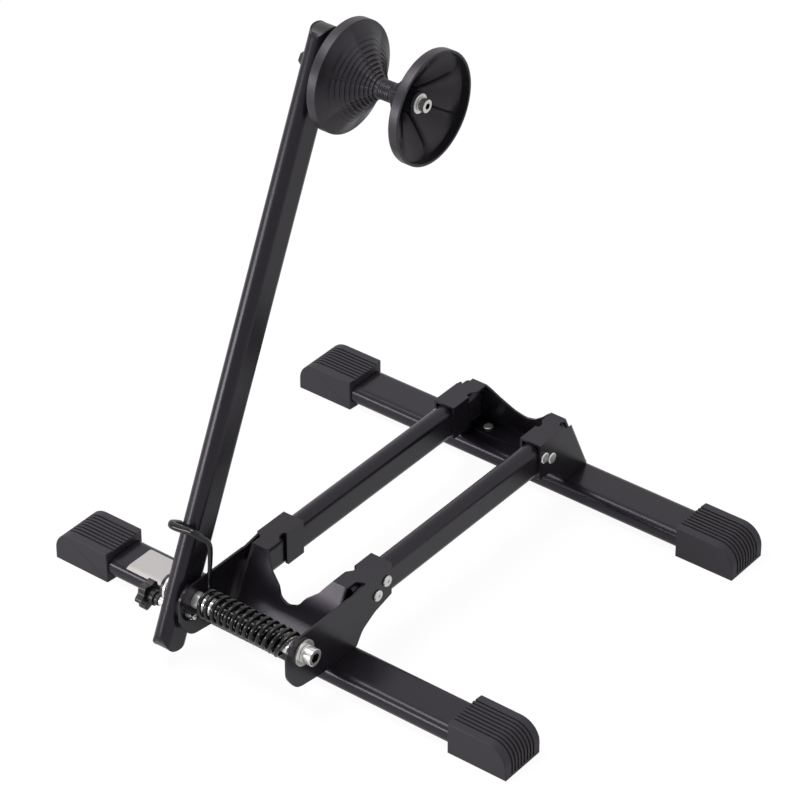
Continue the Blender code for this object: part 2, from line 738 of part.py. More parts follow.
def lock_slot():
    """Cutter for the arc that the lock's stud travels in the left wing."""
    offset = LOCK - PIVOT
    radius = math.hypot(offset.y, offset.z)
    rest = math.atan2(offset.z, offset.y)
    half_width = LOCK_STUD / 2 + 2 * GAP
    first = rest - LOCK_SWING_DOWN
    last = rest + LOCK_SWING_BACK
    steps = 14
    end_steps = 6
    outline = []
    for step in range(steps + 1):
        outline.append((radius + half_width, first + (last - first) * step / steps, 0.0))
    for step in range(1, end_steps):
        outline.append((None, last, math.pi * step / end_steps))
    for step in range(steps + 1):
        outline.append((radius - half_width, last + (first - last) * step / steps, 0.0))
    for step in range(1, end_steps):
        outline.append((None, first, math.pi + math.pi * step / end_steps))
    points = []
    for reach, angle, turn in outline:
        if reach is not None:
            points.append(Vector((PIVOT_Y + reach * math.cos(angle), PIVOT_Z + reach * math.sin(angle))))
            continue
        centre = Vector((PIVOT_Y + radius * math.cos(angle), PIVOT_Z + radius * math.sin(angle)))
        points.append(centre + half_width * Vector((math.cos(angle + turn), math.sin(angle + turn))))
    return slab([points], -WING_CUT_X, -TAB_FOLD_X, SIDE)


def bracket_trim(corners):
    """Cutters for the corners beside a bracket's folds, from a side outline."""
    outline = [Vector(corner) for corner in corners]
    spans = ((-WING_CUT_X, -TAB_FOLD_X - RELIEF_ROUND / 2), (TAB_FOLD_X + RELIEF_ROUND / 2, WING_CUT_X))
    return gathered([slab([outline], low, high, SIDE) for low, high in spans])


def front_bracket(root):
    """Front bracket: plate, ears for the hinge, rail tabs and foot flange."""
    top_y = FRONT_TOP_Y
    edge_y = top_y - FRONT_CORNER
    shoulder_y = top_y + FRONT_SHOULDER
    fold_z = PLATE_TOP_Z - SHEET / 2
    wings = rounded([
        (FRONT_TAB_END, fold_z, 0.0),
        (FRONT_TAB_END, FRONT_WING_FOOT_Z, TAB_CORNER_ROUND),
        *FRONT_WING_EDGE,
        (-TUBE_Y + TUBE_WIDTH / 2 - WING_FOOT_INSET, PLATE_FOOT_Z, 0.0),
        (-TUBE_Y - TUBE_WIDTH / 2 - FRONT_EAR_OVERHANG, PLATE_FOOT_Z, FRONT_EAR_HEEL_ROUND),
        *FRONT_EAR,
        (edge_y, FRONT_EAR[-1][1], 0.0),
        (edge_y, PLATE_TOP_Z, 0.0),
        (shoulder_y, PLATE_TOP_Z, 0.0),
        (shoulder_y, fold_z, 0.0),
    ])
    section = plate_section(*FRONT_WING_REACH, FRONT_LEAN, FRONT_BEND)
    core = bracket_core(section, plate_face(FRONT_SCOOP), wings, top_y, math.tan(FRONT_LEAN))
    core = combined(core, bracket_trim((
        (edge_y - SHEET, WING_CORNER_Z),
        (edge_y + SHEET, WING_CORNER_Z),
        (shoulder_y + SHOULDER_STEP, PLATE_TOP_Z - SHEET),
        (shoulder_y + SHOULDER_STEP, PLATE_TOP_Z + CLEAR),
        (edge_y - SHEET, PLATE_TOP_Z + CLEAR),
    )), "DIFFERENCE")
    core = combined(core, flange(-1), "UNION")
    core = combined(core, tabs(top_y, FRONT_TAB_END, shoulder_y), "UNION")
    holes = [
        screw_holes(FRONT_SCREWS, -WING_CUT_X, -TAB_FOLD_X),
        screw_holes(FRONT_SCREWS, TAB_FOLD_X, WING_CUT_X),
        rod(-WING_CUT_X, -TAB_FOLD_X, PIVOT_DIAMETER + 2 * PIVOT_RUNNING_GAP, PIVOT),
        rod(TAB_FOLD_X, WING_CUT_X, PIVOT_DIAMETER + 2 * PIVOT_RUNNING_GAP, PIVOT),
        rod(TAB_FOLD_X, WING_CUT_X, SPRING_WIRE + 4 * GAP, spring_anchor(), 12),
        lock_slot(),
    ]
    return node("front_bracket", combined(core, gathered(holes), "DIFFERENCE"), PAINT, root)


def rear_bracket(root):
    """Rear bracket: plate, wings, rail tabs and foot flange."""
    top_y = REAR_TOP_Y
    edge_y = top_y - REAR_CORNER
    fold_z = PLATE_TOP_Z - SHEET / 2
    behind = plate_foot_y(1) + 2 * CLEAR
    wings = rounded([
        (REAR_TAB_END, fold_z, 0.0),
        (REAR_TAB_END, REAR_WING_FOOT_Z, TAB_CORNER_ROUND),
        *REAR_WING_EDGE,
        (TUBE_Y - TUBE_WIDTH / 2 + WING_FOOT_INSET, PLATE_FOOT_Z, 0.0),
        (behind, PLATE_FOOT_Z, 0.0),
        (behind, PLATE_TOP_Z, 0.0),
        (edge_y, PLATE_TOP_Z, 0.0),
        (edge_y - SHEET / 2, fold_z, 0.0),
    ])
    section = plate_section(*REAR_WING_REACH, REAR_LEAN, REAR_BEND)
    core = bracket_core(section, plate_face(REAR_SCOOP), wings, top_y, -math.tan(REAR_LEAN))
    core = combined(core, bracket_trim((
        (edge_y - SHEET, PLATE_TOP_Z - SHEET),
        (edge_y + SHEET / 2, WING_CORNER_Z),
        (behind, WING_CORNER_Z),
        (behind, PLATE_TOP_Z + CLEAR),
        (edge_y - SHEET, PLATE_TOP_Z + CLEAR),
    )), "DIFFERENCE")
    core = combined(core, flange(1), "UNION")
    fold_y = top_y + SHEET
    core = combined(core, tabs(fold_y, REAR_TAB_END, fold_y - REAR_SHOULDER), "UNION")
    holes = [
        screw_holes(REAR_SCREWS, -WING_CUT_X, -TAB_FOLD_X),
        screw_holes(REAR_SCREWS, TAB_FOLD_X, WING_CUT_X),
    ]
    return node("rear_bracket", combined(core, gathered(holes), "DIFFERENCE"), PAINT, root)


def screw_shape(diameter):
    """A pan-head screw along X, its head's underside at X = 0 and its shank toward -X."""
    head = diameter / 2
    profile = [
        (-SCREW_LENGTH, 0.0),
        (-SCREW_LENGTH, SCREW_SHANK / 2),
        (0.0, SCREW_SHANK / 2),
        (0.0, head),
        (SCREW_HEAD_EDGE, head),
        (SCREW_HEAD_HEIGHT, head * SCREW_HEAD_TOP_SHARE),
        (SCREW_HEAD_HEIGHT, 0.0),
    ]
    screw = turned(profile, 12, closed=False)
    low = SCREW_HEAD_HEIGHT - RECESS_DEPTH
    for wide, high in ((RECESS_WIDTH, RECESS_SLOT), (RECESS_SLOT, RECESS_WIDTH)):
        recess = slab([flat_oval(wide, high, 0.0)], low, SCREW_HEAD_HEIGHT + PAST, SIDE)
        screw = combined(screw, recess, "DIFFERENCE")
    return screw


def screws(root):
    """Eight rail screws through the wings, and four flange screws into the base tubes."""
    pattern = screw_shape(SCREW_HEAD)
    seat = WING_OUTER_X + GAP
    for y_name, places in (("front", FRONT_SCREWS), ("rear", REAR_SCREWS)):
        for x_name, side in (("left", -1), ("right", 1)):
            for number, (y, z) in enumerate(places, 1):
                turn = Matrix.Rotation(0.0 if side > 0 else math.pi, 4, "Z")
                screw = linked(pattern.data.copy())
                screw.data.transform(Matrix.Translation((side * seat, y, z)) @ turn)
                node(f"{y_name}_{x_name}_rail_screw_{number}", screw, ZINC, root)
    bpy.data.objects.remove(pattern)
    pattern = screw_shape(FLANGE_SCREW_HEAD)
    seat = PLATE_FOOT_Z + SHEET + GAP
    for y_name, places in (("front", flange_screws(-1)), ("rear", flange_screws(1))):
        for x_name, (x, y) in zip(("left", "right"), places):
            screw = linked(pattern.data.copy())
            upright = Matrix.Rotation(-math.pi / 2, 4, "Y")
            screw.data.transform(Matrix.Translation((x, y, seat)) @ upright)
            node(f"{y_name}_{x_name}_flange_screw", screw, ZINC, root)
    bpy.data.objects.remove(pattern)


def cap_screw(head, height, socket, shank, seat_x, tip_x, place):
    """A socket-head bolt along X: head on the right of its seat, shank to the left."""
    chamfer = BOLT_CHAMFER
    profile = [
        (tip_x, 0.0),
        (tip_x, shank / 2 - chamfer),
        (tip_x + chamfer, shank / 2),
        (seat_x, shank / 2),
        (seat_x, head / 2),
        (seat_x + height - chamfer, head / 2),
        (seat_x + height, head / 2 - chamfer),
        (seat_x + height, 0.0),
    ]
    bolt = turned(profile, 24, closed=False)
    recess = slab([hexagon(socket)], seat_x + height / 2, seat_x + height + PAST, SIDE)
    return placed(combined(bolt, recess, "DIFFERENCE"), place)


def hinge_pieces(root):
    """Bolt, washers, sleeve, spacer and nut of the arm's hinge."""
    bore = PIVOT_DIAMETER + 2 * PIVOT_RUNNING_GAP
    washer_x = WING_OUTER_X + GAP
    head_x = washer_x + PIVOT_WASHER_THICKNESS + GAP
    arm_washer_x = ARM_OUTER_X - GAP
    nut_x = arm_washer_x - ARM_WASHER_THICKNESS - GAP
    end_x = nut_x - END_NUT_HEIGHT
    sizes = (PIVOT_HEAD_DIAMETER, PIVOT_HEAD_HEIGHT, PIVOT_SOCKET, PIVOT_DIAMETER)
    bolt = cap_screw(*sizes, head_x, end_x + END_NUT_DISH, PIVOT)
    node("pivot_bolt", bolt, ZINC, root, PIVOT)
    washer = ring(washer_x, washer_x + PIVOT_WASHER_THICKNESS, PIVOT_WASHER, bore, PIVOT, 32)
    node("pivot_washer", washer, ZINC, root, PIVOT)
    sleeve_end = WING_INNER_X - GAP
    node("pivot_sleeve", ring(-sleeve_end, sleeve_end, SLEEVE_DIAMETER, bore, PIVOT), ZINC, root, PIVOT)
    spacer = ring(ARM_INNER_X + GAP, -WING_OUTER_X - GAP, SPACER_DIAMETER, bore, PIVOT)
    node("pivot_spacer", spacer, ZINC, root, PIVOT)
    washer = ring(arm_washer_x - ARM_WASHER_THICKNESS, arm_washer_x, ARM_WASHER, bore, PIVOT)
    node("arm_washer", washer, ZINC, root, PIVOT)
    outer = END_NUT_DIAMETER / 2
    profile = [
        (end_x, 0.0),
        *[(end_x + x, outer - inset) for x, inset in END_NUT_ROUND],
        (nut_x, outer),
        (nut_x, bore / 2),
        (end_x + END_NUT_FACE, bore / 2),
        (end_x + END_NUT_FACE, 0.0),
    ]
    nut = placed(turned(profile, 28, closed=False), PIVOT)
    node("pivot_end_nut", nut, PAINT, root, PIVOT)


def arm_frame():
    """Turns outlines along the arm, from the pivot, into the modelling frame."""
    turn = Matrix((
        (0.0, 0.0, 1.0, 0.0),
        (ARM_ALONG.y, ARM_FRONT.y, 0.0, PIVOT_Y),
        (ARM_ALONG.z, ARM_FRONT.z, 0.0, PIVOT_Z),
        (0.0, 0.0, 0.0, 1.0),
    ))
    return turn


def arm_outline(grow=0.0):
    """Side outline of the arm: long, with round ends."""
    half = ARM_DEPTH / 2 + grow
    ends = ((-ARM_TAIL - half, -half), (ARM_REACH + ARM_TOP + half, -half),
            (ARM_REACH + ARM_TOP + half, half), (-ARM_TAIL - half, half))
    return rounded([(x, y, half * NEARLY) for x, y in ends])


def along_arm(outlines):
    """A tube of the arm's section, along the whole arm and a little further."""
    low = -ARM_TAIL - ARM_DEPTH
    high = ARM_REACH + ARM_TOP + ARM_DEPTH
    section = Matrix(((0, 0, 1, 0), (0, 1, 0, 0), (1, 0, 0, ARM_X), (0, 0, 0, 1)))
    return slab(outlines, low, high, arm_frame() @ section)


def arm_pieces(arm):
    """The arm's tube, its two end plugs and the bushes welded through it."""
    outer = flat_oval(ARM_WIDTH, ARM_DEPTH, ARM_WIDTH / 2)
    inner = flat_oval(ARM_WIDTH, ARM_DEPTH, ARM_WIDTH / 2, -ARM_WALL)
    plug = flat_oval(ARM_WIDTH, ARM_DEPTH, ARM_WIDTH / 2, -ARM_WALL - GAP)
    low = ARM_OUTER_X - PAST
    high = ARM_INNER_X + PAST
    tube = combined(along_arm([outer, inner]), slab([arm_outline()], low, high, arm_frame()), "INTERSECT")
    holes = [
        rod(low, high, PIVOT_BUSH + 2 * GAP, PIVOT),
        rod(low, high, AXLE_BUSH + 2 * GAP, AXLE),
        rod(low, high, LOCK_STUD + 4 * GAP, LOCK, 16),
    ]
    tube = combined(tube, gathered(holes), "DIFFERENCE")
    node("swing_arm", tube, PAINT, arm, PIVOT)
    tail_edge = -ARM_TAIL - ARM_DEPTH / 2
    top_edge = ARM_REACH + ARM_TOP + ARM_DEPTH / 2
    spans = (
        ("arm_bottom_plug", tail_edge - PAST, tail_edge + PLUG_DEPTH),
        ("arm_top_plug", top_edge - PLUG_DEPTH, top_edge + PAST),
    )
    for name, start, stop in spans:
        half = ARM_DEPTH
        block = [Vector((start, -half)), Vector((stop, -half)), Vector((stop, half)), Vector((start, half))]
        shape = combined(along_arm([plug]), slab([arm_outline(-GAP)], low, high, arm_frame()), "INTERSECT")
        shape = combined(shape, slab([block], low, high, arm_frame()), "INTERSECT")
        node(name, shape, PLASTIC, arm, PIVOT)
    bore = PIVOT_DIAMETER + 2 * PIVOT_RUNNING_GAP
    node("arm_pivot_bush", ring(ARM_OUTER_X, ARM_INNER_X, PIVOT_BUSH, bore, PIVOT), ZINC, arm, PIVOT)
    bore = AXLE_DIAMETER + 2 * AXLE_RUNNING_GAP
    node("arm_axle_bush", ring(ARM_OUTER_X, ARM_INNER_X, AXLE_BUSH, bore, AXLE), ZINC, arm, AXLE)


def spring_anchor():
    """Where the spring's short leg enters the right ear."""
    return Vector((0.0, PIVOT_Y, PIVOT_Z - SPRING_RADIUS))


def smooth_route(points, spacing):
    """Points about one spacing apart on a smooth curve through a route."""
    route = [points[0] * 2 - points[1]] + points + [points[-1] * 2 - points[-2]]
    result = [points[0]]
    for index in range(1, len(route) - 2):
        a, b, c, d = route[index - 1:index + 3]
        steps = max(1, round((c - b).length / spacing))
        for step in range(1, steps + 1):
            t = step / steps
            curve = b * 2 + (c - a) * t + (a * 2 - b * 5 + c * 4 - d) * t * t
            curve = curve + (b * 3 - a - c * 3 + d) * t * t * t
            result.append(curve / 2)
    return result


def coil_point(part):
    """The wire's centre at a share of the coils' length, bowed and fanned out as under load."""
    turn = SPRING_START - 2 * math.pi * SPRING_TURNS * part
    y = SPRING_RADIUS * math.cos(turn)
    z = SPRING_RADIUS * math.sin(turn)
    slant = SPRING_SLANT_LEFT + (SPRING_SLANT_RIGHT - SPRING_SLANT_LEFT) * part
    x = SPRING_LEFT_X + (SPRING_RIGHT_X - SPRING_LEFT_X) * part + slant * z
    rise = SPRING_BOW * 4 * part * (1 - part) + SPRING_DROP * (1 - 2 * part)
    return Vector((x, PIVOT_Y + y, PIVOT_Z + z + rise))


def spring_route():
    """Centre line of the spring's wire: left leg, coils and right leg."""
    count = round(SPRING_TURNS * SPRING_POINTS)
    coils = [coil_point(step / count) for step in range(count + 1)]
    clear = SPRING_WIRE / 2 + GAP
    face = PIVOT + ARM_ALONG * LEG_HEIGHT + ARM_FRONT * (ARM_DEPTH / 2 + clear)
    side_x = ARM_OUTER_X - clear - LEG_HOOK_OUT
    hook = face - ARM_FRONT * LEG_HOOK - ARM_ALONG * LEG_HOOK_DROP
    leg = [
        Vector((side_x, hook.y, hook.z)),
        Vector((side_x, face.y, face.z)) + Vector(LEG_OUTER_BEND),
        Vector((side_x, face.y, face.z)) + Vector(LEG_OUTER_EDGE),
        Vector((ARM_X, face.y, face.z)) + Vector(LEG_MIDDLE),
        Vector((ARM_INNER_X, face.y, face.z)) + Vector(LEG_INNER_EDGE),
        Vector((ARM_INNER_X, face.y, face.z)) + Vector(LEG_INNER_BEND),
        Vector((ARM_INNER_X, PIVOT_Y, face.z)) + Vector(LEG_DROP),
        Vector((SPRING_LEFT_X, PIVOT_Y, PIVOT_Z + SPRING_RADIUS)) + Vector(LEG_SHIN),
        Vector((SPRING_LEFT_X, PIVOT_Y, PIVOT_Z + SPRING_RADIUS)) + Vector(LEG_FOOT),
    ]
    end = coils[-1]
    right_leg = []
    for ahead, degrees in RIGHT_LEG_BENDS:
        turn = math.radians(degrees)
        y = PIVOT_Y + SPRING_RADIUS * math.cos(turn)
        right_leg.append(Vector((end.x + ahead, y, PIVOT_Z + SPRING_RADIUS * math.sin(turn))))
    right_leg.append(Vector((WING_OUTER_X - GAP, PIVOT_Y, PIVOT_Z - SPRING_RADIUS)))
    start = smooth_route(leg + [coils[0]], LEG_POINT_SPACING * SPRING_WIRE)[:-1]
    return start + coils + right_leg


def least_gap(points, diameter):
    """The smallest clear distance between stretches of a wire that are not neighbours."""
    least = 1.0
    apart = SPRING_POINTS // 2
    for index, point in enumerate(points):
        for other in points[index + apart:]:
            least = min(least, (point - other).length - diameter)
    return least


def torsion_spring(root):
    """The wound spring round the sleeve, one unbroken wire."""
    points = spring_route()
    print(f"torsion spring: least gap to itself {least_gap(points, SPRING_WIRE) * 1000:.2f} mm")
    curve = bpy.data.curves.new("wire", "CURVE")
    curve.dimensions = "3D"
    curve.bevel_depth = SPRING_WIRE / 2
    curve.bevel_resolution = 1
    curve.use_fill_caps = True
    spline = curve.splines.new("POLY")
    spline.points.add(len(points) - 1)
    for control, point in zip(spline.points, points):
        control.co = (*point, 1.0)
    node("torsion_spring", settled(linked(curve)), SPRING_BLACK, root, PIVOT)


def lock_pieces(arm, stud_empty, knob_empty):
    """Threaded boss on the arm, the stud that enters the ear, and its star knob."""
    bore = LOCK_STUD + 4 * GAP
    boss_x = ARM_OUTER_X - GAP
    boss = ring(boss_x - LOCK_BOSS_LENGTH, boss_x, LOCK_BOSS_DIAMETER, bore, LOCK)
    node("lock_boss", boss, ZINC, arm, LOCK)
    hub_x = boss_x - LOCK_BOSS_LENGTH - GAP
    bore_x = hub_x - KNOB_HUB_LENGTH * KNOB_BORE_SHARE
    stud = rod(bore_x, -WING_INNER_X + LOCK_TIP, LOCK_STUD, LOCK, 16)
    node("lock_stud", stud, ZINC, stud_empty, LOCK)
    head_x = hub_x - KNOB_HUB_LENGTH
    profile = [
        (hub_x, 0.0),
        (hub_x, KNOB_NECK / 2),
        (hub_x - KNOB_HUB_LENGTH * KNOB_NECK_SHARE, KNOB_NECK / 2),
        (hub_x - KNOB_HUB_LENGTH * KNOB_SHOULDER_SHARE, KNOB_HUB / 2),
        (head_x - PAST, KNOB_HUB / 2),
        (head_x - PAST, 0.0),
    ]
    hub = turned(profile, 24, closed=False)
    star = []
    for step in range(KNOB_POINTS):
        turn = 2 * math.pi * step / KNOB_POINTS
        radius = KNOB_RADIUS + KNOB_LOBE * math.cos(KNOB_LOBES * turn)
        star.append(Vector((radius * math.cos(turn), radius * math.sin(turn))))
    knob = combined(slab([star], head_x - KNOB_HEAD, head_x, SIDE), hub, "UNION")
    knob = placed(knob, LOCK)
    blind = rod(bore_x - GAP, hub_x + PAST, LOCK_STUD + 2 * GAP, LOCK, 16)
    node("lock_knob", combined(knob, blind, "DIFFERENCE"), PLASTIC, knob_empty, LOCK)


def flare(x_start, x_end, low, high, sag):
    """Points (x, radius) on the hollow curve from the neck out to the rim."""
    points = []
    for step in range(FLARE_STEPS + 1):
        part = step / FLARE_STEPS
        x = x_start + (x_end - x_start) * part
        radius = low + (high - low) * part - 4 * sag * part * (1 - part)
        points.append((x, radius))
    return points


def cone_shape():
    """The right-hand cone: neck at X = 0, rim outward, hollow and ribbed outside."""
    bore = AXLE_DIAMETER / 2 + AXLE_RUNNING_GAP
    rim_start = CONE_FACE_X - CONE_BAND
    rim_inner = CONE_RADIUS - CONE_WALL
    outside = [(0.0, bore), (0.0, NECK_RADIUS)]
    outside += flare(NECK_LENGTH, rim_start, NECK_RADIUS, CONE_RADIUS - CONE_EDGE, FLARE_SAG)
    outside += [(rim_start + CONE_EDGE, CONE_RADIUS), (CONE_FACE_X - CONE_EDGE, CONE_RADIUS)]
    outside += [(CONE_FACE_X, CONE_RADIUS - CONE_EDGE), (CONE_FACE_X, rim_inner)]
    inner_start = NECK_LENGTH + CONE_WALL * CONE_SLANT_SHARE
    inner_end = rim_start + CONE_WALL * CONE_RIM_SHARE
    inside = flare(inner_start, inner_end, NECK_RADIUS, rim_inner, FLARE_SAG)
    inside = [(x, radius) for x, radius in reversed(inside) if radius > HUB_RADIUS + HUB_STEP]
    outside += inside
    outside += [(inside[-1][0] - HUB_STEP, HUB_RADIUS), (HUB_FACE_X, HUB_RADIUS), (HUB_FACE_X, bore)]
    return turned(outside, ROLLER_STEPS)


def rib_shapes():
    """Radial ribs inside a cone, from the hub to the rim, standing in its wall."""
    rim_start = CONE_FACE_X - CONE_BAND
    lower = flare(NECK_LENGTH, rim_start, NECK_RADIUS, CONE_RADIUS, FLARE_SAG)
    lift = CONE_WALL * RIB_SINK_SHARE
    least, most = HUB_RADIUS * RIB_START_SHARE, CONE_RADIUS * RIB_END_SHARE
    foot = [(radius, x + lift) for x, radius in lower if least < radius < most]
    top = [(radius, x + RIB_HEIGHT + lift) for radius, x in reversed(foot)]
    outline = [Vector(point) for point in foot + top]
    view = Matrix(((0, 1, 0, 0), (1, 0, 0, 0), (0, 0, 1, 0), (0, 0, 0, 1)))
    ribs = []
    for index in range(ROLLER_RIBS):
        turn = Matrix.Rotation(RIB_START + 2 * math.pi * index / ROLLER_RIBS, 4, "X")
        ribs.append(slab([outline], -RIB_WIDTH / 2, RIB_WIDTH / 2, turn @ view))
    return gathered(ribs)


def roller_pieces(arm, roller):
    """Two cones back to back on their axle, with its spacer, washers and nut."""
    cone = combined(cone_shape(), rib_shapes(), "UNION")
    for name, turn, side in (("right_roller_cone", 0.0, 1), ("left_roller_cone", math.pi, -1)):
        half = linked(cone.data.copy())
        half.data.transform(Matrix.Translation((side * GAP / 2, 0.0, 0.0)) @ Matrix.Rotation(turn, 4, "Z"))
        node(name, placed(half, AXLE), RUBBER, roller, AXLE)
    bpy.data.objects.remove(cone)
    bore = AXLE_DIAMETER + 2 * AXLE_RUNNING_GAP
    hub_x = HUB_FACE_X + GAP / 2
    washer_x = hub_x + GAP
    head_x = washer_x + AXLE_WASHER_THICKNESS + GAP
    nut_x = ARM_OUTER_X - GAP
    washer = ring(washer_x, washer_x + AXLE_WASHER_THICKNESS, AXLE_WASHER, bore, AXLE, 28)
    node("axle_washer", washer, ZINC, arm, AXLE)
    spacer = ring(ARM_INNER_X + GAP, -hub_x - GAP, AXLE_SPACER, bore, AXLE)
    node("axle_spacer", spacer, PLASTIC, arm, AXLE)
    tip_x = nut_x - AXLE_NUT_HEIGHT - PAST
    bolt = cap_screw(AXLE_HEAD, AXLE_HEAD_HEIGHT, AXLE_SOCKET, AXLE_DIAMETER, head_x, tip_x, AXLE)
    node("axle_bolt", bolt, ZINC, arm, AXLE)
    nut = slab([hexagon(AXLE_NUT), circle(0.0, 0.0, bore / 2, 24)], nut_x - AXLE_NUT_HEIGHT, nut_x, SIDE)
    node("axle_nut", placed(nut, AXLE), ZINC, arm, AXLE)


def blank_label(root):
    """A bare film label that follows the top and shoulder of the front tube."""
    outer = flat_oval(TUBE_WIDTH, TUBE_HEIGHT, TUBE_SHOULDER, GAP + LABEL_THICKNESS)
    inner = flat_oval(TUBE_WIDTH, TUBE_HEIGHT, TUBE_SHOULDER, GAP)
    skins = [shifted(outline, -TUBE_Y, TUBE_Z) for outline in (outer, inner)]
    left_x = CAP_LENGTH - FRONT_LENGTH / 2 + LABEL_FROM_CAP
    right_x = left_x + LABEL_LENGTH
    film = slab(skins, left_x, right_x, SIDE)
    window = slab(
        [[Vector((x, y)) for x, y in (
            (-TUBE_Y - LABEL_FRONT_Y, TUBE_Z + LABEL_FOOT), (-TUBE_Y + LABEL_BACK_Y, TUBE_Z + LABEL_FOOT),
            (-TUBE_Y + LABEL_BACK_Y, TUBE_Z + TUBE_HEIGHT), (-TUBE_Y - LABEL_FRONT_Y, TUBE_Z + TUBE_HEIGHT),
        )]],
        left_x - GAP, right_x + GAP, SIDE,
    )
    node("blank_label", combined(film, window, "INTERSECT"), WHITE_FILM, root)


def build_stand():
    """Build every piece of the stand."""
    clear_scene()
    bpy.context.scene.collection.children.link(bpy.data.collections.new("bike_parking_stand"))
    root = pivot_empty("stand_origin", Vector((0.0, -ORIGIN_Y, 0.0)), None)
    arm = pivot_empty("arm_axis", PIVOT, root)
    roller = pivot_empty("roller_axis", AXLE, arm)
    stud_empty = pivot_empty("lock_slide", LOCK, arm)
    knob_empty = pivot_empty("lock_axis", LOCK, stud_empty)
    base_tube("front_base_tube", -1, root)
    base_tube("rear_base_tube", 1, root)
    foot_caps(root)
    rail("left_rail", -1, root)
    rail("right_rail", 1, root)
    front_bracket(root)
    rear_bracket(root)
    screws(root)
    hinge_pieces(root)
    torsion_spring(root)
    arm_pieces(arm)
    lock_pieces(arm, stud_empty, knob_empty)
    roller_pieces(arm, roller)
    blank_label(root)


build_stand()
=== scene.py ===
"""Looks of the bike parking stand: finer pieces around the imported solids, and their finishes.

Metres, +Z up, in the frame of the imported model. Every piece is shaped in a working
frame that has Y = 0 midway between the base tubes, and its mesh is moved from there
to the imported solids' frame when it is finished.
"""
import json
import math

import bmesh
import bpy
from mathutils import Matrix, Vector

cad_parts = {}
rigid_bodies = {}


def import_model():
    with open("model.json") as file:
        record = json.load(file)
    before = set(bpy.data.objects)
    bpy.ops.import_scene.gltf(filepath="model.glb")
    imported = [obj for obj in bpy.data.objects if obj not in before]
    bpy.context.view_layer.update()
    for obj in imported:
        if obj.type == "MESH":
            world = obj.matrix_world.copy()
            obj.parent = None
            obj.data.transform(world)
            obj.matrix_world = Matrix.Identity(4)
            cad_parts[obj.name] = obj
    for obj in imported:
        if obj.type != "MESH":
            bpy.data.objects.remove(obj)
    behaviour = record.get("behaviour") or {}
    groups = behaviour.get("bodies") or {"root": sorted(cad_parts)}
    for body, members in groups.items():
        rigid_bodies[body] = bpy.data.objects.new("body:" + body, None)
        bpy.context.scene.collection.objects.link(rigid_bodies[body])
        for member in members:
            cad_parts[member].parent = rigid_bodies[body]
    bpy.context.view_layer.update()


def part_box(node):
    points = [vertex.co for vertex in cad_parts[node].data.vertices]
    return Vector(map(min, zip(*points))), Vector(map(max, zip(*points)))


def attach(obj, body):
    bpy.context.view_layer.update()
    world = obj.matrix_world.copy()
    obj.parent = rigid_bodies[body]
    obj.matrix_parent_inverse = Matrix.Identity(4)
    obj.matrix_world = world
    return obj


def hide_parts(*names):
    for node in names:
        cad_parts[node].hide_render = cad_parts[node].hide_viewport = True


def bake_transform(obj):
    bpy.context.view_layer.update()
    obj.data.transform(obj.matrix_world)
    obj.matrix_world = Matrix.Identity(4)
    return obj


bl_info = {
    "name": "Bike Parking Stand",
    "version": (1, 0, 0),
    "blender": (4, 5, 0),
    "location": "View3D > Sidebar > Bike Stand",
    "description": "Builds the pieces and finishes of a sprung bike parking stand",
    "category": "Object",
}

for leftover in list(bpy.data.objects):
    bpy.data.objects.remove(leftover)
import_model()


def box_middle(name):
    """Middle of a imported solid's box."""
    low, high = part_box(name)
    return (low + high) / 2


SHIFT = Vector((0.0, (box_middle("front_base_tube").y + box_middle("rear_base_tube").y) / 2, 0.0))

# Gap left between pieces that touch, and how far long and short cutters reach past what they cut
GAP = 0.0003
CLEAR = 0.010
PAST = 0.001
# Nearly a full fillet, so that two of them never meet in one point
NEARLY = 0.9999
# Chamfers on turned rims and on washers, and where the middle point of a soft rim lies in its width
RIM = 0.0003
RING_EDGE = 0.0004
SOFT_SHARE = 0.3

# Base tubes
TUBE_Y = 0.195
TUBE_WIDTH = 0.050
TUBE_HEIGHT = 0.021
TUBE_SHOULDER = 0.009
TUBE_WALL = 0.0015
TUBE_Z = 0.016

# Foot caps
FRONT_LENGTH = 0.5715
REAR_LENGTH = 0.5640
CAP_LENGTH = 0.0705
CAP_WIDTH = 0.0555
CAP_HEIGHT = 0.0355
CAP_TOP_ROUND = 0.0050
CAP_END_ROUND = 0.0225
CAP_LIP_SAG = 0.0010
CAP_LIP_ROUND = 0.002
CAP_LIP_BULGE_ROUND = 0.01
CAP_LIP_BULGE_SHARE = 0.6
CAP_END_WALL = 0.007
GROOVE_COUNT = 8
GROOVE_PITCH = 0.0049
GROOVE_FOOT = 0.0035

# Rails
RAIL_X = 0.0555
RAIL_WIDTH = 0.020
RAIL_HEIGHT = 0.040
RAIL_WALL = 0.0015
RAIL_Z = 0.0735
RAIL_END_GAP = 0.0025

# Folded brackets
SHEET = 0.0025
WING_OUTER_X = RAIL_X + RAIL_WIDTH / 2 + GAP + SHEET
FRONT_BEND = 0.010
REAR_BEND = 0.0025
PLATE_FOOT_Z = TUBE_Z + TUBE_HEIGHT / 2 + GAP
PLATE_TOP_Z = RAIL_Z + RAIL_HEIGHT / 2 + GAP + SHEET
FRONT_TOP_Y = -0.1775
FRONT_LEAN = math.radians(26.4)
REAR_TOP_Y = 0.1818
REAR_LEAN = math.radians(24.9)
TAB_FOLD_X = 0.060
SCOOP_X = 0.0417
RELIEF_Z = 0.080
FRONT_SCOOP = ((0.0, 0.0580), (0.011, 0.0615), (0.0165, 0.0700), (0.0290, 0.0795), (0.0360, 0.0890))
REAR_SCOOP = ((0.0, 0.0645), (0.013, 0.0692), (0.0264, 0.0808), (0.0363, 0.0916))
SCOOP_ROUND = 0.012
RELIEF_ROUND = 0.002
TAB_INNER_X = RAIL_X - RAIL_WIDTH / 2 - GAP - SHEET
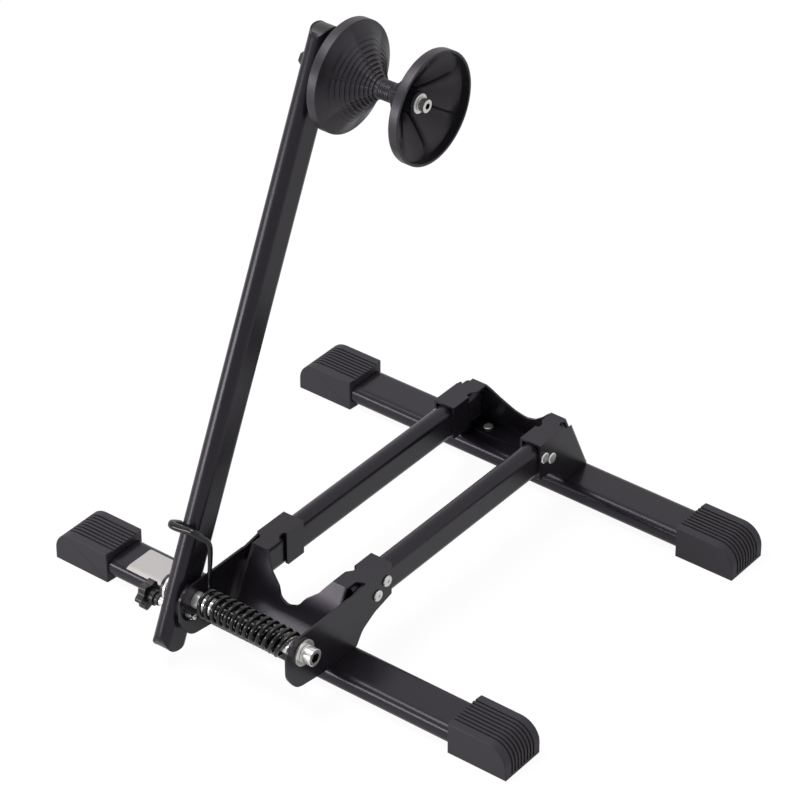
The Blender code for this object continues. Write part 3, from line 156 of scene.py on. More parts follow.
FRONT_TAB_END = -0.1185
REAR_TAB_END = 0.1285
SIDE_TAB_WIDTH = 0.0265
SIDE_TAB_FOOT_Z = 0.0568
SIDE_TAB_ROUND = 0.003
TAB_NOTCH_DEPTH = 0.0050
TAB_NOTCH_LENGTH = 0.013
TAB_NOTCH_ROUND = 0.0025
TAB_CORNER = 0.001
FRONT_SHOULDER = 0.0135
REAR_SHOULDER = 0.0125
SHOULDER_STEP = 0.004
SHOULDER_ROUND = 0.004
FRONT_FLANGE = (0.056, 0.021)
REAR_FLANGE = (0.066, 0.027)
FLANGE_TAPER = 0.002
FLANGE_ROUND = 0.003

# Side outlines of the brackets' wings, as (Y, Z, fillet)
FRONT_WING_EDGE = ((-0.1455, 0.0512, 0.020), (-0.1647, 0.0408, 0.020))
FRONT_WING_FOOT_Z = 0.0580
FRONT_EAR = ((-0.2670, 0.0325, 0.022), (-0.2812, 0.0530, 0.020), (-0.2812, 0.0910, 0.014))
FRONT_EAR_OVERHANG = 0.006
FRONT_EAR_ROUND = 0.01
REAR_WING_EDGE = ((0.1455, 0.0532, 0.010), (0.1600, 0.0448, 0.030))
REAR_WING_FOOT_Z = 0.0535
WING_FOOT_INSET = 0.004
WING_CORNER_Z = 0.0905
FRONT_WING_REACH = (0.130, 0.110)
REAR_WING_REACH = (0.160, 0.0)
FRONT_CORNER = 0.004
REAR_CORNER = 0.006

# Screws
SCREW_SHANK = 0.0052
SCREW_HEAD = 0.0122
FLANGE_SCREW_HEAD = 0.0105
SCREW_HEAD_HEIGHT = 0.0025
SCREW_LENGTH = 0.012
# A pan head's straight rim and its dome, as shares of its height, and its flat as a share of its radius
PAN_RIM = 0.35
PAN_DOME = 0.58
PAN_FLAT = 0.80
RECESS_WIDTH = 0.0040
RECESS_SLOT = 0.0012
RECESS_DEPTH = 0.0014
RECESS_ROUND = 0.0002
# Degrees that each rail screw is turned on its axis: per number in its pair, and by side
SCREW_TWIST = (37, 20)
FRONT_SCREWS = ((-0.1415, 0.0697), (-0.1268, 0.0788))
REAR_SCREWS = ((0.1353, 0.0786), (0.1480, 0.0713))
FRONT_FLANGE_SCREW = (0.048, 0.0105)
REAR_FLANGE_SCREW = (0.050, 0.0168)

# Hinge of the arm
PIVOT_Y = -0.2564
PIVOT_Z = 0.0714
PIVOT_DIAMETER = 0.012
PIVOT_HEAD_DIAMETER = 0.0185
PIVOT_HEAD_HEIGHT = 0.012
PIVOT_SOCKET = 0.010
PIVOT_TIP_INSET = 0.0018
BOLT_CHAMFER = 0.0008
PIVOT_WASHER = 0.028
PIVOT_WASHER_THICKNESS = 0.0025
SLEEVE_DIAMETER = 0.0175
SPACER_DIAMETER = 0.0190
EAR_TO_ARM = 0.0067
ARM_WASHER = 0.029
ARM_WASHER_THICKNESS = 0.0028
END_NUT_DIAMETER = 0.0270
END_NUT_HEIGHT = 0.0056
END_NUT_DOME = (0.0030, 0.0045)
END_NUT_RECESS = 0.0012

# Swinging arm
ARM_DEPTH = 0.040
ARM_WIDTH = 0.020
ARM_WALL = 0.0015
ARM_TILT = math.radians(24.3)
ARM_REACH = 0.5405
ARM_TAIL = 0.0400
ARM_TOP = 0.0195
PLUG_DEPTH = 0.024
ARM_EDGE = 0.0004
PIVOT_BUSH = 0.016
AXLE_BUSH = 0.012

# Torsion spring
SPRING_WIRE = 0.0045
SPRING_RADIUS = 0.0136
SPRING_LEFT_X = -0.0560
SPRING_RIGHT_X = 0.0515
SPRING_START = math.radians(35)
SPRING_TURNS = 13.2
# The loaded coils bow up in their middle, drop from left to right, and fan out at both ends
SPRING_BOW = 0.0018
SPRING_DROP = 0.0012
SPRING_SLANT_LEFT = -0.20
SPRING_SLANT_RIGHT = 0.345
# The sleeve under the spring is plain zinc at its ends; between these two places it gets the spring's
# glossy black as painted shade from the coils round it
SLEEVE_SHADE_FROM = -0.0385
SLEEVE_SHADE_TO = SPRING_RIGHT_X - 0.006
LEG_HEIGHT = 0.0685
LEG_HOOK = 0.018
LEG_HOOK_DROP = 0.003
LEG_HOOK_OUT = 0.0035
LEG_SLEEVE = 0.0080
# Bends of the leg round the arm, as steps in X, Y and Z from the wire's own line there
LEG_OUTER_BEND = (0.0010, 0.0030, -0.0020)
LEG_OUTER_EDGE = (0.0060, -0.0006, -0.0008)
LEG_MIDDLE = (0.0, -0.0004, 0.0004)
LEG_INNER_EDGE = (0.0030, 0.0004, 0.0020)
LEG_INNER_BEND = (0.0085, 0.0040, -0.0040)
LEG_DROP = (0.0160, 0.0144, -0.0130)
# The leg's foot over the coil's top, as steps in X, Y and Z from the left end of the coil there
LEG_SHIN = (-0.0010, 0.0105, 0.0134)
LEG_FOOT = (-0.0013, 0.0103, 0.0034)
# Last bends at the right end, as (distance along X, degrees round the coil)
RIGHT_LEG_BENDS = ((0.0020, -65), (0.0055, -83), (0.0100, -90))
# The leg's sleeve: full over the arm, within a reach in X and Z, then thinner down the leg
LEG_FULL_REACH = 0.0085
LEG_FULL_DROP = 0.012
LEG_THIN_FROM = 0.004
LEG_THIN_LENGTH = 0.030
LEG_THIN_SHARE = 0.42
# How far the wire's two ends bulge, as shares of its radius
WIRE_BULGES = (0.6, 0.5)

# Lock of the arm
LOCK_Y = -0.2607
LOCK_Z = 0.0519
LOCK_STUD = 0.006
LOCK_TIP = 0.0015
# The stud's rounded tip, as (distance from its end, distance in from its side)
LOCK_TIP_ROUND = ((0.0012, 0.0), (0.0004, 0.0004), (0.0, 0.0014))
LOCK_BOSS_DIAMETER = 0.010
LOCK_BOSS_LENGTH = 0.0132
LOCK_SWING_BACK = math.radians(31)
LOCK_SWING_DOWN = math.radians(66.5)
KNOB_HUB = 0.016
KNOB_NECK = 0.012
KNOB_HUB_LENGTH = 0.0125
KNOB_HEAD = 0.0085
KNOB_RADIUS = 0.0138
KNOB_LOBE = 0.0017
KNOB_LOBES = 6
KNOB_NECK_EDGE = 0.0005
KNOB_EDGE = 0.0011
# The neck, the start of the wide hub and the bore's end, as shares of the hub's length
KNOB_NECK_SHARE = 0.35
KNOB_STEP_SHARE = 0.45
KNOB_BORE_SHARE = 0.7

# Roller
CONE_RADIUS = 0.057
CONE_FACE_X = 0.0530
CONE_BAND = 0.0103
CONE_WALL = 0.0028
NECK_RADIUS = 0.0100
CREASE_DEPTH = 0.0042
NECK_LENGTH = 0.0065
FLARE_SAG = 0.0038
HUB_FACE_X = 0.035
HUB_RADIUS = 0.011
ROLLER_RIBS = 6
RIB_START = math.radians(27)
NECK_GROOVES = (0.30, 0.62, 0.94)
# One step of the flank, as (share of the step, share of its depth), and where the steps lie on it
FLANK_STEP = ((0.05, 0.0), (0.62, 0.9), (0.80, 1.0), (0.96, 0.0))
FLANK_STEPS_FROM = 0.02
FLANK_STEPS_SPAN = 0.80
FLANK_SMOOTH_PARTS = (0.85, 0.90, 0.95, 1.0)
FLANK_INSET = 0.001
# The wall's thickness along X at the hub and at the rim, in walls
HUB_WALLS = 1.3
RIM_WALLS = 0.4
# Degrees from a rib: where points stand, its smooth strip, the blend into the panel, the ridge's half
RIB_OFFSETS = (0.5, 1.0, 1.5, 2.2, 3.5, 5.0, 7.0, 9.0, 12.0, 15.0, 18.0, 22.0, 26.0)
RIB_STRIP = 1.5
RIB_BLEND = 2.5
RIB_HALF_WIDTH = 1.6
# Ribs rise over one part in this many of the cup's depth at the rim, and over a distance from the hub
RIB_RIM_RISE = 6
RIB_FADE = 0.004
# Share of a rib's height that spreads over its facet, and how sharp a crease is
RIB_FACET_SHARE = 0.75
CREASE_POWER = 1.5
# A step's and a rib's moves, as (share along X, share toward the axis)
FLANK_MOVE = (0.6, 0.75)
RIB_MOVE = (0.75, 0.45)
# Angle in degrees over which an edge of a cone stays sharp
CONE_SMOOTH = 28.0
AXLE_DIAMETER = 0.008
AXLE_HEAD = 0.0135
AXLE_HEAD_HEIGHT = 0.0080
AXLE_SOCKET = 0.006
AXLE_WASHER = 0.020
AXLE_WASHER_THICKNESS = 0.0016
AXLE_SPACER = 0.014
AXLE_NUT = 0.013
AXLE_NUT_HEIGHT = 0.008
NUT_EDGE = 0.0005

# Blank label on the front tube
LABEL_FROM_CAP = 0.02125
LABEL_LENGTH = 0.055
LABEL_THICKNESS = 0.0003
LABEL_BACK_Y = 0.0155
LABEL_FRONT_Y = 0.0220
LABEL_FOOT = 0.004
LABEL_CORNER = 0.002

# Places that follow from the sizes above
WING_INNER_X = WING_OUTER_X - SHEET
WING_CUT_X = WING_OUTER_X + CLEAR
ARM_INNER_X = -(WING_OUTER_X + EAR_TO_ARM)
ARM_X = ARM_INNER_X - ARM_WIDTH / 2
ARM_OUTER_X = ARM_INNER_X - ARM_WIDTH
ARM_ALONG = Vector((0.0, math.sin(ARM_TILT), math.cos(ARM_TILT)))
ARM_FRONT = Vector((0.0, -math.cos(ARM_TILT), math.sin(ARM_TILT)))
PIVOT = Vector((0.0, PIVOT_Y, PIVOT_Z))
AXLE = PIVOT + ARM_ALONG * ARM_REACH
LOCK = Vector((0.0, LOCK_Y, LOCK_Z))

# A view turns an outline's two axes and its thickness into X, Y and Z
PLAN = Matrix.Identity(4)
SIDE = Matrix(((0, 0, 1, 0), (1, 0, 0, 0), (0, 1, 0, 0), (0, 0, 0, 1)))
FRONT = Matrix(((1, 0, 0, 0), (0, 0, 1, 0), (0, 1, 0, 0), (0, 0, 0, 1)))

# Turned shapes and fillets
FILLET_STEP = math.radians(9)
STRAIGHT = math.radians(89.5)
FLAT_ANGLE = math.radians(0.02)
ROUND_STEPS = 64
HOLE_STEPS = 24
DOME_STEPS = 8
BEND_STEPS = 14
CUP_STEPS = 26
STAR_STEPS = 120
WIRE_END_STEPS = 4

# Camera, from the photograph's straight edges
CAMERA_TARGET = Vector((-0.18105, 0.21562, 0.0))
CAMERA_AZIMUTH = math.radians(37.855)
CAMERA_ELEVATION = math.radians(34.81)
CAMERA_DISTANCE = 4.0163
CAMERA_FOCAL = 3698.7
PHOTO_SIDE = 800
SENSOR = 36.0

# Stage: the floor, and each lamp's place, size, power and aim
FLOOR_REACH = 6.0
FLOOR_DROP = 0.0003
TOP_LAMP = ((-0.7, -0.6, 2.6), (1.3, 1.3), 34.0, (0.0, 0.0, 0.2))
FRONT_LAMP = ((-1.30, -2.45, 0.62), (1.5, 0.65), 30.0, (0.0, 0.0, 0.15))


class StandDetail(bpy.types.PropertyGroup):
    """Fine sizes of the pieces."""

    edge_round: bpy.props.FloatProperty(
        name="Edge round", description="Rounding of cut and folded steel edges",
        default=0.0005, min=0.0001, max=0.001, precision=5, unit="LENGTH")
    fold_round: bpy.props.FloatProperty(
        name="Fold round", description="Outer rounding of the brackets' folds",
        default=0.0020, min=0.0005, max=0.0024, precision=5, unit="LENGTH")
    moulded_round: bpy.props.FloatProperty(
        name="Moulded edge round", description="Rounding of rubber and plastic edges",
        default=0.0007, min=0.0001, max=0.001, precision=5, unit="LENGTH")
    groove_width: bpy.props.FloatProperty(
        name="Groove width", description="Width of the grooves in the foot caps",
        default=0.0024, min=0.001, max=0.003, precision=5, unit="LENGTH")
    groove_depth: bpy.props.FloatProperty(
        name="Groove depth", description="Depth of the grooves in the foot caps",
        default=0.0013, min=0.0005, max=0.002, precision=5, unit="LENGTH")
    coil_points: bpy.props.IntProperty(
        name="Points in each coil", description="Points along one turn of the spring",
        default=36, min=12, max=72)
    leg_spacing: bpy.props.FloatProperty(
        name="Leg point spacing", description="Distance of points along the spring's legs, in wires",
        default=0.6, min=0.2, max=2.0)
    wire_points: bpy.props.IntProperty(
        name="Points round the wire", description="Points round the spring's wire",
        default=14, min=8, max=32)
    step_depth: bpy.props.FloatProperty(
        name="Roller step depth", description="Depth of the steps in the roller's flanks",
        default=0.0015, min=0.0, max=0.002, precision=5, unit="LENGTH")
    step_count: bpy.props.IntProperty(
        name="Roller steps", description="Steps from the neck outward in each flank panel",
        default=10, min=4, max=20)
    rib_height: bpy.props.FloatProperty(
        name="Rib height", description="Height of the ribs inside the roller's cups",
        default=0.0085, min=0.0005, max=0.010, precision=5, unit="LENGTH")


class StandFinish(bpy.types.PropertyGroup):
    """Colours and gloss of the finishes."""

    paint: bpy.props.FloatVectorProperty(
        name="Powder coat", description="Colour of the coated steel",
        subtype="COLOR", size=3, default=(0.0175, 0.0152, 0.0200), min=0.0, max=1.0)
    glint: bpy.props.FloatVectorProperty(
        name="Glint", description="Tint of the light that black paint and rubber mirror",
        subtype="COLOR", size=3, default=(0.96, 0.89, 1.0), min=0.0, max=1.0)
    paint_roughness: bpy.props.FloatProperty(
        name="Powder coat roughness", description="Roughness of the coated steel",
        default=0.24, min=0.0, max=1.0, subtype="FACTOR")
    rubber: bpy.props.FloatVectorProperty(
        name="Rubber", description="Colour of the foot caps",
        subtype="COLOR", size=3, default=(0.0280, 0.0252, 0.0300), min=0.0, max=1.0)
    plastic: bpy.props.FloatVectorProperty(
        name="Plastic", description="Colour of the knob and plugs",
        subtype="COLOR", size=3, default=(0.012, 0.011, 0.013), min=0.0, max=1.0)
    zinc: bpy.props.FloatVectorProperty(
        name="Zinc", description="Colour of the plated screws and bolts",
        subtype="COLOR", size=3, default=(0.95, 0.94, 0.92), min=0.0, max=1.0)
    label: bpy.props.FloatVectorProperty(
        name="Label", description="Colour of the bare label",
        subtype="COLOR", size=3, default=(0.68, 0.645, 0.635), min=0.0, max=1.0)


def detail():
    """The fine sizes in use."""
    return bpy.context.scene.stand_detail


def chosen():
    """The finishes in use."""
    return bpy.context.scene.stand_finish


def linked(data):
    """A new object for some data, in the scene."""
    item = bpy.data.objects.new("shape", data)
    bpy.context.scene.collection.objects.link(item)
    return item


def copied(pattern, matrix):
    """A copy of a shape, moved."""
    item = linked(pattern.data.copy())
    item.data.transform(matrix)
    return item


def mesh_of(points, faces):
    """A new object from points and faces."""
    mesh = bpy.data.meshes.new("shape")
    mesh.from_pydata(points, [], faces)
    mesh.validate()
    return linked(mesh)


def settled(item, matrix=None, flatten=True):
    """Replace an object by a plain welded mesh of what it shows, facing out."""
    bpy.context.view_layer.update()
    depsgraph = bpy.context.evaluated_depsgraph_get()
    mesh = bpy.data.meshes.new_from_object(item.evaluated_get(depsgraph))
    if matrix is not None:
        mesh.transform(matrix)
    bpy.data.objects.remove(item)
    shape = bmesh.new()
    shape.from_mesh(mesh)
    bmesh.ops.remove_doubles(shape, verts=shape.verts, dist=1e-6)
    bmesh.ops.dissolve_degenerate(shape, dist=1e-7, edges=shape.edges)
    if flatten:
        bmesh.ops.dissolve_limit(shape, angle_limit=FLAT_ANGLE, verts=shape.verts, edges=shape.edges)
    bmesh.ops.recalc_face_normals(shape, faces=shape.faces)
    shape.to_mesh(mesh)
    shape.free()
    return linked(mesh)


def combined(item, tool, operation):
    """Join two shapes, cut the second from the first, or keep what they share."""
    modifier = item.modifiers.new("shape", "BOOLEAN")
    modifier.object = tool
    modifier.operation = operation
    modifier.solver = "EXACT"
    result = settled(item)
    bpy.data.objects.remove(tool)
    return result


def folded(item, width, on_fold):
    """Round the edges that lie on a fold, told by a test of their middle and direction."""
    weights = item.data.attributes.new("bevel_weight_edge", "FLOAT", "EDGE")
    points = [vertex.co for vertex in item.data.vertices]
    for edge in item.data.edges:
        first, last = (points[index] for index in edge.vertices)
        if on_fold((first + last) / 2, last - first):
            weights.data[edge.index].value = 1.0
    modifier = item.modifiers.new("folds", "BEVEL")
    modifier.width = width
    modifier.segments = 5
    modifier.limit_method = "WEIGHT"
    modifier.use_clamp_overlap = True
    return settled(item, flatten=False)


def gathered(items):
    """Several shapes that don't touch, as one object."""
    shape = bmesh.new()
    for item in items:
        shape.from_mesh(item.data)
        bpy.data.objects.remove(item)
    mesh = bpy.data.meshes.new("shape")
    shape.to_mesh(mesh)
    shape.free()
    return linked(mesh)


def softened(item, width, segments=2, angle=30.0):
    """Round off a shape's sharp edges."""
    modifier = item.modifiers.new("edges", "BEVEL")
    modifier.width = width
    modifier.segments = segments
    modifier.limit_method = "ANGLE"
    modifier.angle_limit = math.radians(angle)
    modifier.miter_outer = "MITER_ARC"
    modifier.use_clamp_overlap = True
    return settled(item, flatten=False)


def rounded(corners):
    """A closed outline through corners (x, y, fillet radius)."""
    points = []
    for index, (x, y, radius) in enumerate(corners):
        corner = Vector((x, y))
        before = (Vector(corners[index - 1][:2]) - corner).normalized()
        after = (Vector(corners[(index + 1) % len(corners)][:2]) - corner).normalized()
        half = before.angle(after) / 2
        if radius == 0.0 or half > STRAIGHT:
            points.append(corner)
            continue
        centre = corner + (before + after).normalized() * radius / math.sin(half)
        first = corner + before * radius / math.tan(half) - centre
        last = corner + after * radius / math.tan(half) - centre
        sweep = first.angle_signed(last)
        steps = max(1, math.ceil(abs(sweep) / FILLET_STEP))
        for step in range(steps + 1):
            turn = Matrix.Rotation(-sweep * step / steps, 2)
            points.append(centre + turn @ first)
    return points


def slab(outlines, low, high, view):
    """A plate with holes: outlines in a view's plane, from low to high across it."""
    curve = bpy.data.curves.new("outline", "CURVE")
    curve.dimensions = "2D"
    curve.fill_mode = "BOTH"
    curve.extrude = (high - low) / 2
    for outline in outlines:
        spline = curve.splines.new("POLY")
        spline.points.add(len(outline) - 1)
        spline.use_cyclic_u = True
        for point, (x, y) in zip(spline.points, outline):
            point.co = (x, y, 0.0, 1.0)
    middle = Matrix.Translation((0.0, 0.0, (low + high) / 2))
    return settled(linked(curve), view @ middle)


def quads(rows, count, closed):
    """Faces between rows of points that each run round; closed joins the last row to the first."""
    faces = []
    for row in range(rows if closed else rows - 1):
        below = row * count
        above = (row + 1) % rows * count
        for step in range(count):
            after = (step + 1) % count
            faces.append((below + step, below + after, above + after, above + step))
    return faces


def turned(profile, steps=ROUND_STEPS, closed=True):
    """A shape turned about X from points (x, radius); an open profile ends on the axis."""
    turns = [2 * math.pi * step / steps for step in range(steps)]
    points = [
        (x, radius * math.cos(turn), radius * math.sin(turn)) for x, radius in profile for turn in turns]
    return settled(mesh_of(points, quads(len(profile), steps, closed)), flatten=False)


def placed(item, place):
    """Move a shape to its place, in its mesh."""
    item.data.transform(Matrix.Translation(place))
    return item


def ring(low, high, outer, bore, place):
    """A washer, bush or spacer about an axis along X, from diameters, with soft rims."""
    edge = RING_EDGE
    soft = edge * SOFT_SHARE
    profile = [
        (low, bore / 2), (low, outer / 2 - edge),
        (low + soft, outer / 2 - soft), (low + edge, outer / 2),
        (high - edge, outer / 2), (high - soft, outer / 2 - soft),
        (high, outer / 2 - edge), (high, bore / 2),
    ]
    return placed(turned(profile), place)


def rod(low, high, diameter, place, steps=ROUND_STEPS):
    """A plain cylinder about an axis along X."""
    profile = [(low, 0.0), (low, diameter / 2), (high, diameter / 2), (high, 0.0)]
    return placed(turned(profile, steps, closed=False), place)


def flat_oval(width, height, radius, grow=0.0):
    """Outline of a flat tube about its own centre, grown by a margin."""
    half_width = width / 2 + grow
    half_height = height / 2 + grow
    round_off = min(radius + grow, half_width, half_height) * NEARLY
    corners = ((1, 1), (-1, 1), (-1, -1), (1, -1))
    return rounded([(x * half_width, y * half_height, round_off) for x, y in corners])


def tube_section(width, height, radius, wall, x, y):
    """Outlines of a flat tube's outside and inside about a place."""
    return [shifted(flat_oval(width, height, radius, grow), x, y) for grow in (0.0, -wall)]


def shifted(outline, x, y):
    """An outline moved in its plane."""
    return [Vector((point[0] + x, point[1] + y)) for point in outline]


def circle(x, y, radius, steps=40):
    """A round outline."""
    turns = [2 * math.pi * step / steps for step in range(steps)]
    return [Vector((x + radius * math.cos(turn), y + radius * math.sin(turn))) for turn in turns]


def hexagon(across_flats):
    """Outline of a hexagon about its own centre."""
    return circle(0.0, 0.0, across_flats / math.sqrt(3), 6)


def box_outline(low_x, high_x, low_y, high_y):
    """A rectangle's outline."""
    corners = ((low_x, low_y), (high_x, low_y), (high_x, high_y), (low_x, high_y))
    return [Vector(corner) for corner in corners]


def second_finish(item, finish, inside):
    """Give a second finish to the faces whose middle, in the working frame, passes a test."""
    item.data.materials.append(FINISHES[finish]())
    for face in item.data.polygons:
        if inside(face.center - SHIFT):
            face.material_index = 1


def piece(name, item, finish, body, nodes, smooth=40.0):
    """Name a shape, give it its finish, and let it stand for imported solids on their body."""
    item.name = name
    item.data.name = name
    item.data.transform(Matrix.Translation(SHIFT))
    item.data.materials.clear()
    item.data.materials.append(FINISHES[finish]())
    item.data.shade_smooth()
    item.data.set_sharp_from_angle(angle=math.radians(smooth))
    item.modifiers.new("normals", "WEIGHTED_NORMAL").keep_sharp = True
    if body is not None:
        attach(item, body)
    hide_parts(*nodes)
    return item


def shader_group(name, inputs, outputs):
    """A new node group with float inputs and the given outputs."""
    group = bpy.data.node_groups.new(name, "ShaderNodeTree")
    for label, value in inputs:
        socket = group.interface.new_socket(label, in_out="INPUT", socket_type="NodeSocketFloat")
        socket.default_value = value
    for label in outputs:
        group.interface.new_socket(label, in_out="OUTPUT", socket_type="NodeSocketFloat")
    start = group.nodes.new("NodeGroupInput")
    finish = group.nodes.new("NodeGroupOutput")
    return group, start, finish


def node(tree, kind, values=None, feeds=None, **settings):
    """A new shader node with its settings, socket values and what feeds its sockets."""
    item = tree.nodes.new(kind)
    for name, value in settings.items():
        setattr(item, name, value)
    for socket, value in (values or {}).items():
        item.inputs[socket].default_value = value
    for socket, source in (feeds or {}).items():
        tree.links.new(source, item.inputs[socket])
    return item


def noise_in(group, scale, amount, roughness=0.5):
    """A noise texture's value in object coordinates inside a group."""
    place = node(group, "ShaderNodeTexCoord")
    noise = node(group, "ShaderNodeTexNoise", {"Detail": amount, "Roughness": roughness},
                 {"Vector": place.outputs["Object"], "Scale": scale})
    return noise.outputs["Fac"]


def map_range(group, value, low, high):
    """Turn a mask into a value between two inputs."""
    ramp = node(group, "ShaderNodeMapRange", {"From Min": 0.3, "From Max": 0.7},
                {"Value": value, "To Min": low, "To Max": high})
    return ramp.outputs["Result"]


# Inputs of the shared surface effect, with their defaults
SURFACE_INPUTS = (
    ("Grain Scale", 900.0), ("Patch Scale", 14.0), ("Smooth", 0.3), ("Rough", 0.4), ("Shade Low", 0.9),
    ("Shade High", 1.1),
)


def surface_group():
    """Shared surface effect: a fine grain in height, and patches in roughness and shade."""
    group = bpy.data.node_groups.get("surface_grain")
    if group is not None:
        return group
    group, start, finish = shader_group("surface_grain", SURFACE_INPUTS, ("Height", "Roughness", "Shade"))
    given = start.outputs
    patch = noise_in(group, given["Patch Scale"], amount=4.0, roughness=0.6)
    values = {
        "Height": noise_in(group, given["Grain Scale"], amount=3.0),
        "Roughness": map_range(group, patch, given["Smooth"], given["Rough"]),
        "Shade": map_range(group, patch, given["Shade Low"], given["Shade High"]),
    }
    for name, value in values.items():
        group.links.new(value, finish.inputs[name])
    return group


def grained(name, colour, grain, patch, rough, shades, bump, metallic=0.0, specular=0.5,
            glint=(1.0, 1.0, 1.0)):
    """A Principled material whose grain, gloss and shade come from the shared effect.

    Grain and patch are the scales of the two noises; rough and shades are ranges between
    patches; bump is its strength and height in metres.
    """
    material = bpy.data.materials.get(name)
    if material is not None:
        return material
    material = bpy.data.materials.new(name)
    material.use_nodes = True
    tree = material.node_tree
    values = dict(zip([label for label, value in SURFACE_INPUTS], (grain, patch, *rough, *shades)))
    effect = node(tree, "ShaderNodeGroup", node_tree=surface_group())
    for label, value in values.items():
        effect.inputs[label].default_value = value
    tint = node(tree, "ShaderNodeMix", data_type="RGBA", blend_type="MULTIPLY")
    tint.inputs[0].default_value = 1.0
    tint.inputs[6].default_value = (*colour, 1.0)
    relief = node(tree, "ShaderNodeBump", {"Strength": bump[0], "Distance": bump[1]},
                  {"Height": effect.outputs["Height"]})
    shader = tree.nodes["Principled BSDF"]
    tree.links.new(effect.outputs["Shade"], tint.inputs[7])
    tree.links.new(tint.outputs[2], shader.inputs["Base Color"])
    tree.links.new(effect.outputs["Roughness"], shader.inputs["Roughness"])
    tree.links.new(relief.outputs["Normal"], shader.inputs["Normal"])
    shader.inputs["Metallic"].default_value = metallic
    shader.inputs["Specular IOR Level"].default_value = specular
    shader.inputs["Specular Tint"].default_value = (*glint, 1.0)
    material.diffuse_color = (*colour, 1.0)
    return material


def powder_coat():
    """Black powder coat with a faint orange peel."""
    rough = chosen().paint_roughness
    return grained("black_powder_coat", chosen().paint, grain=700.0, patch=9.0,
                   rough=(rough - 0.04, rough + 0.05), shades=(0.90, 1.10), bump=(0.02, 0.0003),
                   specular=0.34, glint=chosen().glint)


def cap_rubber():
    """Matt moulded rubber of the foot caps."""
    return grained("cap_rubber", chosen().rubber, grain=1500.0, patch=22.0, rough=(0.50, 0.64),
                   shades=(0.80, 1.20), bump=(0.22, 0.0004), specular=0.45, glint=chosen().glint)


def roller_rubber():
    """Satin moulded rubber of the roller."""
    return grained("roller_rubber", chosen().rubber, grain=1200.0, patch=12.0, rough=(0.34, 0.46),
                   shades=(0.92, 1.08), bump=(0.15, 0.0003), specular=0.45, glint=chosen().glint)


def black_plastic():
    """Moulded black plastic of the knob, the plugs, the hinge's end nut and the roller's spacer."""
    return grained("moulded_plastic", chosen().plastic, grain=1400.0, patch=30.0, rough=(0.30, 0.42),
                   shades=(0.9, 1.1), bump=(0.12, 0.0003))


def bright_zinc():
    """Bright zinc plating on the screws, bolts, washers, bushes and the hinge's sleeve."""
    return grained("zinc_plate", chosen().zinc, grain=500.0, patch=60.0, rough=(0.16, 0.30),
                   shades=(0.86, 1.0), bump=(0.06, 0.0003), metallic=0.65)


def glossy_black_and_shade():
    """Glossy black coat of the spring's wire, also given as painted shade to the hinge sleeve's middle and
    the lock stud's side.
    """
    return grained("spring_coat_and_shade", chosen().plastic, grain=900.0, patch=25.0, rough=(0.08, 0.13),
                   shades=(0.4, 0.6), bump=(0.02, 0.0002), specular=0.45)


def dark_nut_and_socket_shade():
    """Dark steel of the roller's nut, and painted shade inside the bolts' sockets."""
    return grained("dark_nut_and_socket_shade", chosen().plastic, grain=600.0, patch=40.0, rough=(0.34, 0.48),
                   shades=(0.7, 1.1), bump=(0.08, 0.0003))


def label_film():
    """Bare white film."""
    return grained("label_film", chosen().label, grain=300.0, patch=16.0, rough=(0.32, 0.40),
                   shades=(0.97, 1.0), bump=(0.03, 0.0002))


FINISHES = {
    "paint": powder_coat, "cap": cap_rubber, "roller": roller_rubber, "plastic": black_plastic,
    "zinc": bright_zinc, "dark_and_socket_shade": dark_nut_and_socket_shade, "spring": glossy_black_and_shade, "label": label_film,
}


def base_length(side):
    """Overall length over the caps, front (-1) or rear (1)."""
    return FRONT_LENGTH if side < 0 else REAR_LENGTH


def base_tube(side):
    """A flat steel tube across the stand, open at both ends inside its caps."""
    section = tube_section(TUBE_WIDTH, TUBE_HEIGHT, TUBE_SHOULDER, TUBE_WALL, side * TUBE_Y, TUBE_Z)
    half = base_length(side) / 2 - CAP_END_WALL - GAP
    return slab(section, -half, half, SIDE)


def cap_grooves():
    """Cutters for the grooves along a cap's top and down its outer end."""
    depth = detail().groove_depth
    width = detail().groove_width
    lip = -CAP_LIP_SAG
    floor_z = CAP_HEIGHT - depth
    outline = rounded([
        (lip, floor_z, 0.0),
        (CAP_LENGTH - depth, floor_z, CAP_END_ROUND - depth),
        (CAP_LENGTH - depth, GROOVE_FOOT, 0.0),
        (CAP_LENGTH + CLEAR, GROOVE_FOOT, 0.0),
        (CAP_LENGTH + CLEAR, CAP_HEIGHT + CLEAR, 0.0),
        (lip, CAP_HEIGHT + CLEAR, 0.0),
    ])
    cutters = []
    for index in range(GROOVE_COUNT):
        middle = (index - (GROOVE_COUNT - 1) / 2) * GROOVE_PITCH
        cutters.append(slab([outline], middle - width / 2, middle + width / 2, FRONT))
    return gathered(cutters)


def cap_edge(middle, along):
    """Whether an edge is on the outline of a cap's side, apart from its lip."""
    near_zero = 0.0001
    side = abs(abs(middle.y) - CAP_WIDTH / 2) < near_zero and abs(along.y) < near_zero
    return side and middle.x > near_zero - CAP_LIP_SAG


